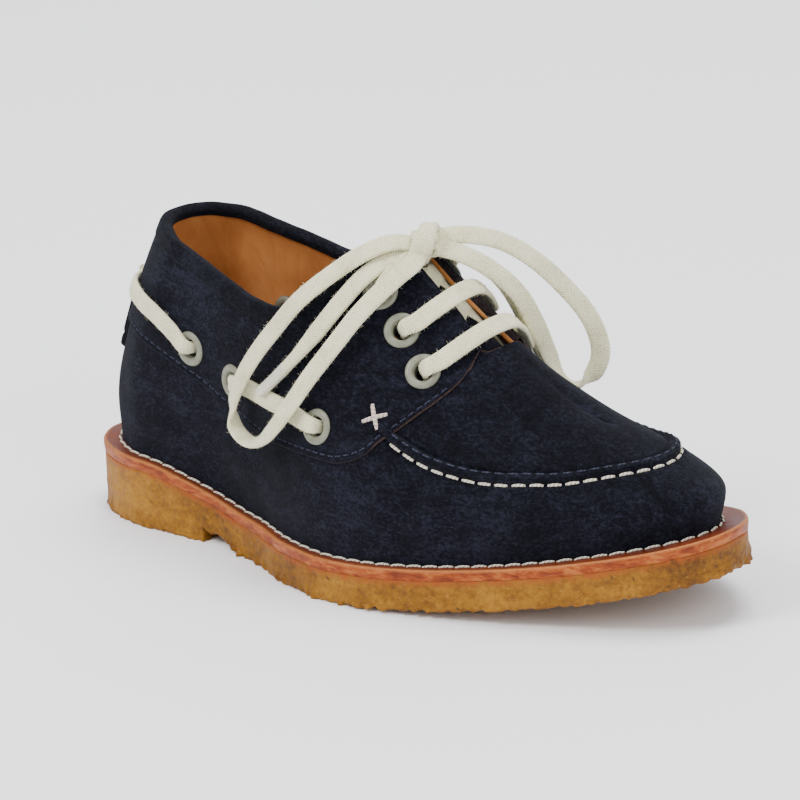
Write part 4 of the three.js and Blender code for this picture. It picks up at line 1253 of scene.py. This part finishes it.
def heel_tab(material):
    """The strap up the back of the heel, folded over at its top."""
    rows, columns = 40, 25
    share = np.linspace(-1, 1, columns)
    zs = np.linspace(TAB["high"], TAB["low"], rows)
    s = share * TAB["rows"]
    s_all = np.where(s < 0, AROUND + s, s)
    level = np.array([first_level(s_all, lambda p, z=z: p[..., 2] >= z, 0.2, 2.2) for z in zs])
    base, n = form(s_all, level), normal(s_all, level)
    from_end = np.minimum(np.arange(rows), np.arange(rows)[::-1])[:, None]
    edge_in = np.minimum(np.minimum(1 - np.abs(share)[None, :], 0.5) * 9, from_end * 0.45)
    rounded = rolled(edge_in, 0.9)
    seam = -0.35 * np.exp(-((zs[:, None] - TAB["low"] - 4) / 0.6) ** 2)
    fold = 0.5 * smooth(TAB["high"] - 5, TAB["high"] - 1, zs)[:, None]
    lift = TAB["stand"] + 0.2 + (TAB["thick"] - 0.2) * rounded + seam * rounded + fold * rounded
    points = base + n * lift[..., None]
    faces = grid_faces(rows, columns)
    piece = make("heel_loop", points, faces, material, {"edge": 1 - smooth(0.2, 0.7, edge_in)})
    return settle(piece, "suede", "heel_tab")


# ----------------------------------------------------------------------- stitches


def stitches(name, line, normals, length, gap, radius, material, slot, lean=0.0):
    """A row of stitches along a line on a surface: each a short twisted strand that
    rises out of its hole and goes back into the next."""
    line, normals = np.asarray(line, float), np.asarray(normals, float)
    run = run_along(line)
    count = int(run[-1] / (length + gap))
    turns = np.linspace(0, 2 * np.pi, 9)[:-1]
    shares = np.linspace(0, 1, 11)
    points, faces, along_at, turn_at = [], [], [], []
    for i in range(count):
        run_at = i * (length + gap) + shares * length
        p, n = sampled(run_at, run, line), unit(sampled(run_at, run, normals))
        t = unit(np.gradient(p, axis=0))
        side = np.cross(n, t)
        body = np.sin(np.pi * np.clip(shares, 0.03, 0.97)) ** 0.4
        centre = p + n * (radius * (1.25 * body - 0.85))[:, None]
        centre = centre + side * (lean * (shares - 0.5))[:, None]
        size = radius * (0.62 + 0.38 * body)
        ring = (centre[:, None, :] + side[:, None, :] * (np.cos(turns) * size[:, None])[..., None]
                + n[:, None, :] * (np.sin(turns) * size[:, None])[..., None])
        offset = len(points) * len(shares) * len(turns)
        points.append(ring.reshape(-1, 3))
        faces.append(grid_faces(len(shares), len(turns), wrap_cols=True)[:, ::-1] + offset)
        along_at.append(np.repeat(run_at, len(turns)))
        turn_at.append(np.tile(turns, len(shares)))
    piece = make(name, np.concatenate(points), np.concatenate(faces), material,
                 {"along": np.concatenate(along_at), "turn": np.concatenate(turn_at)})
    return settle(piece, slot)


def welt_stitches(material):
    """The big cream stitches along the welt's edge."""
    s = around(0, AROUND, SEAM_STEP)
    edge = inset(s, column(UPPER, "welt", sole_edge(s)[:, 0]) - 0.62)
    line = lifted(edge, welt_top(edge[:, 0]) + 0.18)
    up = np.repeat([[0.0, 0.0, 1.0]], len(s), 0)
    stitches("welt_stitches", line, up, *STITCHES["welt"], material, "lace_cotton", lean=0.5)


def moc_stitches(material, tonal):
    """The cream stitches in the moccasin seam, and the tonal ones along its ridge."""
    ends = [find_on_form(side, MOC_STARTS + 3.5, 42)[0] for side in (-1, 1)]
    s = around(*ends, SEAM_STEP)
    level = np.full(s.shape, MOC_LEVEL)
    line = off_form(s, level, -0.1 + creased(form(s, level)))
    stitches("moc_stitches", line, normal(s, level), *STITCHES["moc"], material, "lace_cotton")
    level = raised(s, level, 2.35)
    line = off_form(s, level, 1.35 + creased(form(s, level)))
    stitches("ridge_stitches", line, normal(s, level), *STITCHES["ridge"], tonal, "suede")


def saddle_stitches(tonal):
    """The seam along the saddle's lower edge."""
    front = [find_on_form(side, SADDLE_FRONT - 2, 58)[0] for side in (-1, 1)]
    s = around(front[1] - AROUND, front[0], SEAM_STEP)
    low = first_level(s, in_saddle, 0.2)
    level = raised(s, low, 1.9)
    line = off_form(s, level, SADDLE_UP - 0.15 + creased(form(s, level)))
    stitches("saddle_stitches", line, normal(s, level), *STITCHES["saddle"], tonal, "suede")


def tack(material):
    """A plain cross of bar tacks that holds the facing's lower corner."""
    for side, word in SIDES:
        s, level = find_on_form(side, *TACK_AT)
        n = normal(s, level)
        centre = off_form(s, level, SADDLE_UP)
        along, up = slopes(np.array(s), np.array(level))
        a, b = unit(along), unit(up)
        for k, direction in enumerate((unit(a + b), unit(a - b))):
            line = [centre + direction * t + n * (0.1 + 0.35 * k - 0.008 * t * t)
                    for t in np.linspace(-TACK_HALF, TACK_HALF, 9)]
            stitches(f"tack_{word}_{k}", line, np.repeat(n[None, :], 9, 0), *STITCHES["tack"],
                     material, "lace_cotton")


# --------------------------------------------------------------------- sole parts


CREPE_SEED, LIFT_SEED, TEETH_SEED, WELT_SEED = 3, 9, 12, 21


def rough(s_run, z, amount, seed):
    """Small irregular waves, the same on every run."""
    rng = np.random.default_rng(seed)
    total = np.zeros(np.broadcast(s_run, z).shape)
    for _ in range(14):
        wave, tilt = rng.uniform(0.9, 7.0), rng.uniform(-1.2, 1.2)
        total = total + np.sin(s_run / wave * 2 + z * tilt + rng.uniform(0, 6.3)) * math.sqrt(wave) / 14
    return amount * total


def close_across(count, ring_start):
    """Faces across a ring of count points, from its outer half to its inner half."""
    half = count // 2
    faces = []
    for j in range(half):
        a, b = ring_start + j, ring_start + j + 1
        c, d = ring_start + (count - j - 1) % count, ring_start + (count - j) % count
        quad = [a, b, c, d]
        faces.append([v for k, v in enumerate(quad) if v not in quad[:k]])
    return [f for f in faces if len(f) > 2]


def even_around(spacing):
    """An even number of values of s round the sole's edge."""
    s = around(0, AROUND, spacing)[:-1]
    return s[: len(s) // 2 * 2]


def ring_faces(rings):
    """Faces between rings stacked from the bottom up, and across the lowest."""
    count = len(rings[0])
    faces = [list(f) for f in grid_faces(len(rings), count, wrap_cols=True)[:, ::-1]]
    return faces + close_across(count, 0)


def top_faces(rings):
    count = len(rings[0])
    return [f[::-1] for f in close_across(count, (len(rings) - 1) * count)]


def outsole(material):
    """The crepe slab, torn and ragged round its lower edge where the heel leaves it free."""
    s = even_around(SOLE_STEP)
    low = lambda x: np.maximum(0, welt_top(x) - WELT - CREPE)
    high = lambda x: welt_top(x) - WELT - 0.01
    outline = sole_edge(s)
    run, x = run_along(outline), outline[:, 0]
    free = smooth(HEEL_BREAST - 3, HEEL_BREAST + 1, x)
    bottom, top = low(x), high(x)
    share = np.linspace(0, 1, 14)
    inner = inset(s, 2.5)
    rings = [lifted(inner, low(inner[:, 0]))]
    for t in share:
        edge = 0.75 * (1 - smooth(0, 0.12, t)) * free
        z = bottom + (top - bottom) * t
        teeth = np.abs(rough(run * 2.3, z, 1.5, CREPE_SEED + 1)) * (1 - t) ** 3 * free
        ragged = rough(run, z, 0.45, CREPE_SEED) * (0.2 + 0.8 * free) + teeth
        q = inset(s, edge + 0.22 - ragged * (1 - 0.6 * t) - 0.25 * (1 - t) * free)
        chipped = np.abs(rough(run * 1.7, z * 0, 1.1, CREPE_SEED + 2)) * (bottom > 0.5)
        rings.append(lifted(q, z + (1 - t) ** 4 * chipped))
    inner_top = inset(s, 3.0)
    rings.append(lifted(inner_top, high(inner_top[:, 0])))
    stain = np.repeat(smooth(0.72, 1.0, np.array([0, *share, 1])), len(s))
    piece = make("crepe_sole", rings, ring_faces(rings) + top_faces(rings), material, {"stain": stain})
    return settle(piece, "crepe", "outsole")


def heel_lift(material):
    """The lift: the sole's edge up to its breast, which is cut straight across."""
    ends = [find_edge(side, HEEL_BREAST) for side in (-1, 1)]
    s = around(ends[1] - AROUND, ends[0], SOLE_STEP)
    across = np.linspace(0, 1, 40)[1:-1]
    outline = sole_edge(s)
    first, last = outline[0], outline[-1]
    bulge = np.sin(across * np.pi)[:, None] * np.array([0.6, 0])
    breast = last + (first - last) * across[:, None] + bulge
    path = np.concatenate([outline, breast])
    run = run_along(path)
    tangent = unit(np.roll(path, -1, 0) - np.roll(path, 1, 0))
    inward = np.stack([-tangent[:, 1], tangent[:, 0]], 1)
    top = np.maximum(welt_top(path[:, 0]) - WELT - CREPE - 0.02, 0.25)
    rings = [lifted(path + inward * 2.5, 0 * top)]
    for share in np.linspace(0, 1, 12):
        edge = 0.5 * (1 - smooth(0, 0.15, share)) + 0.3 - 0.2 * smooth(0.6, 1, share)
        teeth = 1.4 * np.abs(rough(run * 2.1, top * share, 1, TEETH_SEED)) * (1 - share) ** 3
        ragged = rough(run, top * share, 0.35, LIFT_SEED) * (1 - share) + teeth
        rings.append(lifted(path + inward * (edge - ragged)[:, None], top * share))
    for inward_by, above in ((0.2, 0.7), (0.45, 1.4), (2.5, 1.4)):     # runs up into the sole
        rings.append(lifted(path + inward * inward_by, top + above))
    count, size = len(path), len(path) * len(rings)
    faces = [*grid_faces(len(rings), count, wrap_cols=True)[:, ::-1],
             range(count)[::-1], range(size - count, size)]
    piece = make("crepe_heel", rings, faces, material)
    return settle(piece, "crepe", "heel_lift")


def find_edge(side, x):
    """s of the sole's edge with that x on one side."""
    low, high = 2.0, 10.0
    for _ in range(30):
        t = (low + high) / 2
        s = t if side < 0 else AROUND - t
        low, high = (t, high) if sole_edge(np.array(s))[0] < x else (low, t)
    return s


def welt(material):
    """The leather layer round the shoe, with its sanded edge and a painted highlight along its rounded
    top corner.
    """
    s = even_around(SOLE_STEP)
    run = run_along(sole_edge(s))
    section = [  # inward from the edge, height over the welt's underside, edge, and share of painted rim highlight
        (6.5, 0.0, 0, 0), (0.3, 0.0, 1, 0), (0.17, 0.12, 1, 0), (0.1, 0.9, 1, 0), (0.0, 1.5, 1, 0),
        (0.0, 2.1, 1, 0), (0.02, 2.55, 1, 0.5), (0.22, 2.86, 0.8, 1), (0.6, 3.0, 0.1, 0.7),
        (1.1, 2.98, 0, 0.1), (1.6, 2.97, 0, 0), (2.2, 2.98, 0, 0), (3.4, 3.0, 0, 0), (9.0, 3.0, 0, 0),
    ]
    rings = []
    for inward, height, _, _ in section:
        q = inset(s, inward - (rough(run, 0, 0.12, WELT_SEED) if inward < 1 else 0))
        rings.append(lifted(q, welt_top(q[:, 0]) - WELT + height))
    # the sanded edge, and the painted highlight along the rounded top corner
    edge, rim_highlight = (np.repeat([ring[k] for ring in section], len(s)) for k in (2, 3))
    piece = make("welt_leather", rings, ring_faces(rings) + top_faces(rings), material,
                 {"edge": edge, "rim_highlight": rim_highlight})
    return settle(piece, "welt_leather", "welt")


def insole(material):
    """The leather-covered board inside, its top dished and crossed by a ladder of points."""
    s = even_around(INSOLE_STEP)
    margin = column(UPPER, "welt", sole_edge(s)[:, 0]) + WALL + 0.7
    rings = []
    for inward, height in ((0.3, 0.0), (0.0, 0.5), (0.0, 2.0), (0.3, 2.5), (1.2, 2.7), (4.5, 2.5)):
        q = inset(s, margin + inward)
        rings.append(lifted(q, welt_top(q[:, 0]) + GAP + height))
    points, count = np.array(rings).reshape(-1, 3), len(s)
    faces = ring_faces(rings)
    steps, half = 12, count // 2
    outer, inner = rings[-1][1:half], rings[-1][:half:-1]
    shares = np.linspace(0, 1, steps + 1)[1:-1]
    ladder = outer[:, None] + (inner - outer)[:, None] * shares[None, :, None]
    ladder[..., 2] -= 0.9 * np.sin(shares * math.pi)[None, :]
    start, last = len(points), (len(rings) - 1) * count
    points = np.concatenate([points, ladder.reshape(-1, 3)])
    rows = [[last + j + 1, *range(start + j * len(shares), start + (j + 1) * len(shares)),
             last + count - j - 1] for j in range(half - 1)]
    for low, high in zip(rows, rows[1:]):
        faces += [[low[k], high[k], high[k + 1], low[k + 1]] for k in range(steps)]
    faces += [[last, *rows[0]], [last + half, *rows[-1][::-1]]]
    piece = make("insole_leather", points, faces, material)
    return settle(piece, "lining_leather", "insole")


# ----------------------------------------------------------------------- assembly

camera()
EYELET_SPOTS = eyelet_spots()
lace_cotton = cotton("lace_cotton_weave")
bow(lace_cotton, aglet_film("aglet_film"))
knot(lace_cotton)
studio()

navy = suede("navy_suede", (0.001, 0.001, 0.0024), (0.0038, 0.0039, 0.0075), (0.0145, 0.015, 0.0265),
             raw=(0.17, 0.1, 0.07))
binding_navy = suede("binding_suede", (0.001, 0.001, 0.002), (0.0034, 0.0035, 0.0062),
                     (0.011, 0.0115, 0.019))
tan = lining_leather("tan_lining")
# each thread's second colour is its painted shade in the grooves of the twist
cream_thread = thread("cream_thread", (0.68, 0.64, 0.54), (0.36, 0.31, 0.23))
navy_thread = thread("navy_thread", (0.03, 0.033, 0.06), (0.008, 0.009, 0.018))
tack_thread = thread("tack_thread", (0.6, 0.5, 0.44), (0.35, 0.27, 0.22))
grey_enamel = enamel("grey_enamel")
crepe = crepe_rubber("honey_crepe")

lacing(lace_cotton)
under_crossings(lace_cotton)
lace_fuzz("lace_fibres", FIBRES, lace_cotton)
for spot in EYELET_SPOTS:
    eyelet(spot, grey_enamel)
vamp(navy)
lining(tan)
saddle(navy)
binding(binding_navy)
heel_tab(binding_navy)
tongue(navy)
welt(welt_leather("brown_welt"))
outsole(crepe)
heel_lift(crepe)
insole(tan)
welt_stitches(cream_thread)
moc_stitches(cream_thread, navy_thread)
saddle_stitches(navy_thread)
tack(tack_thread)
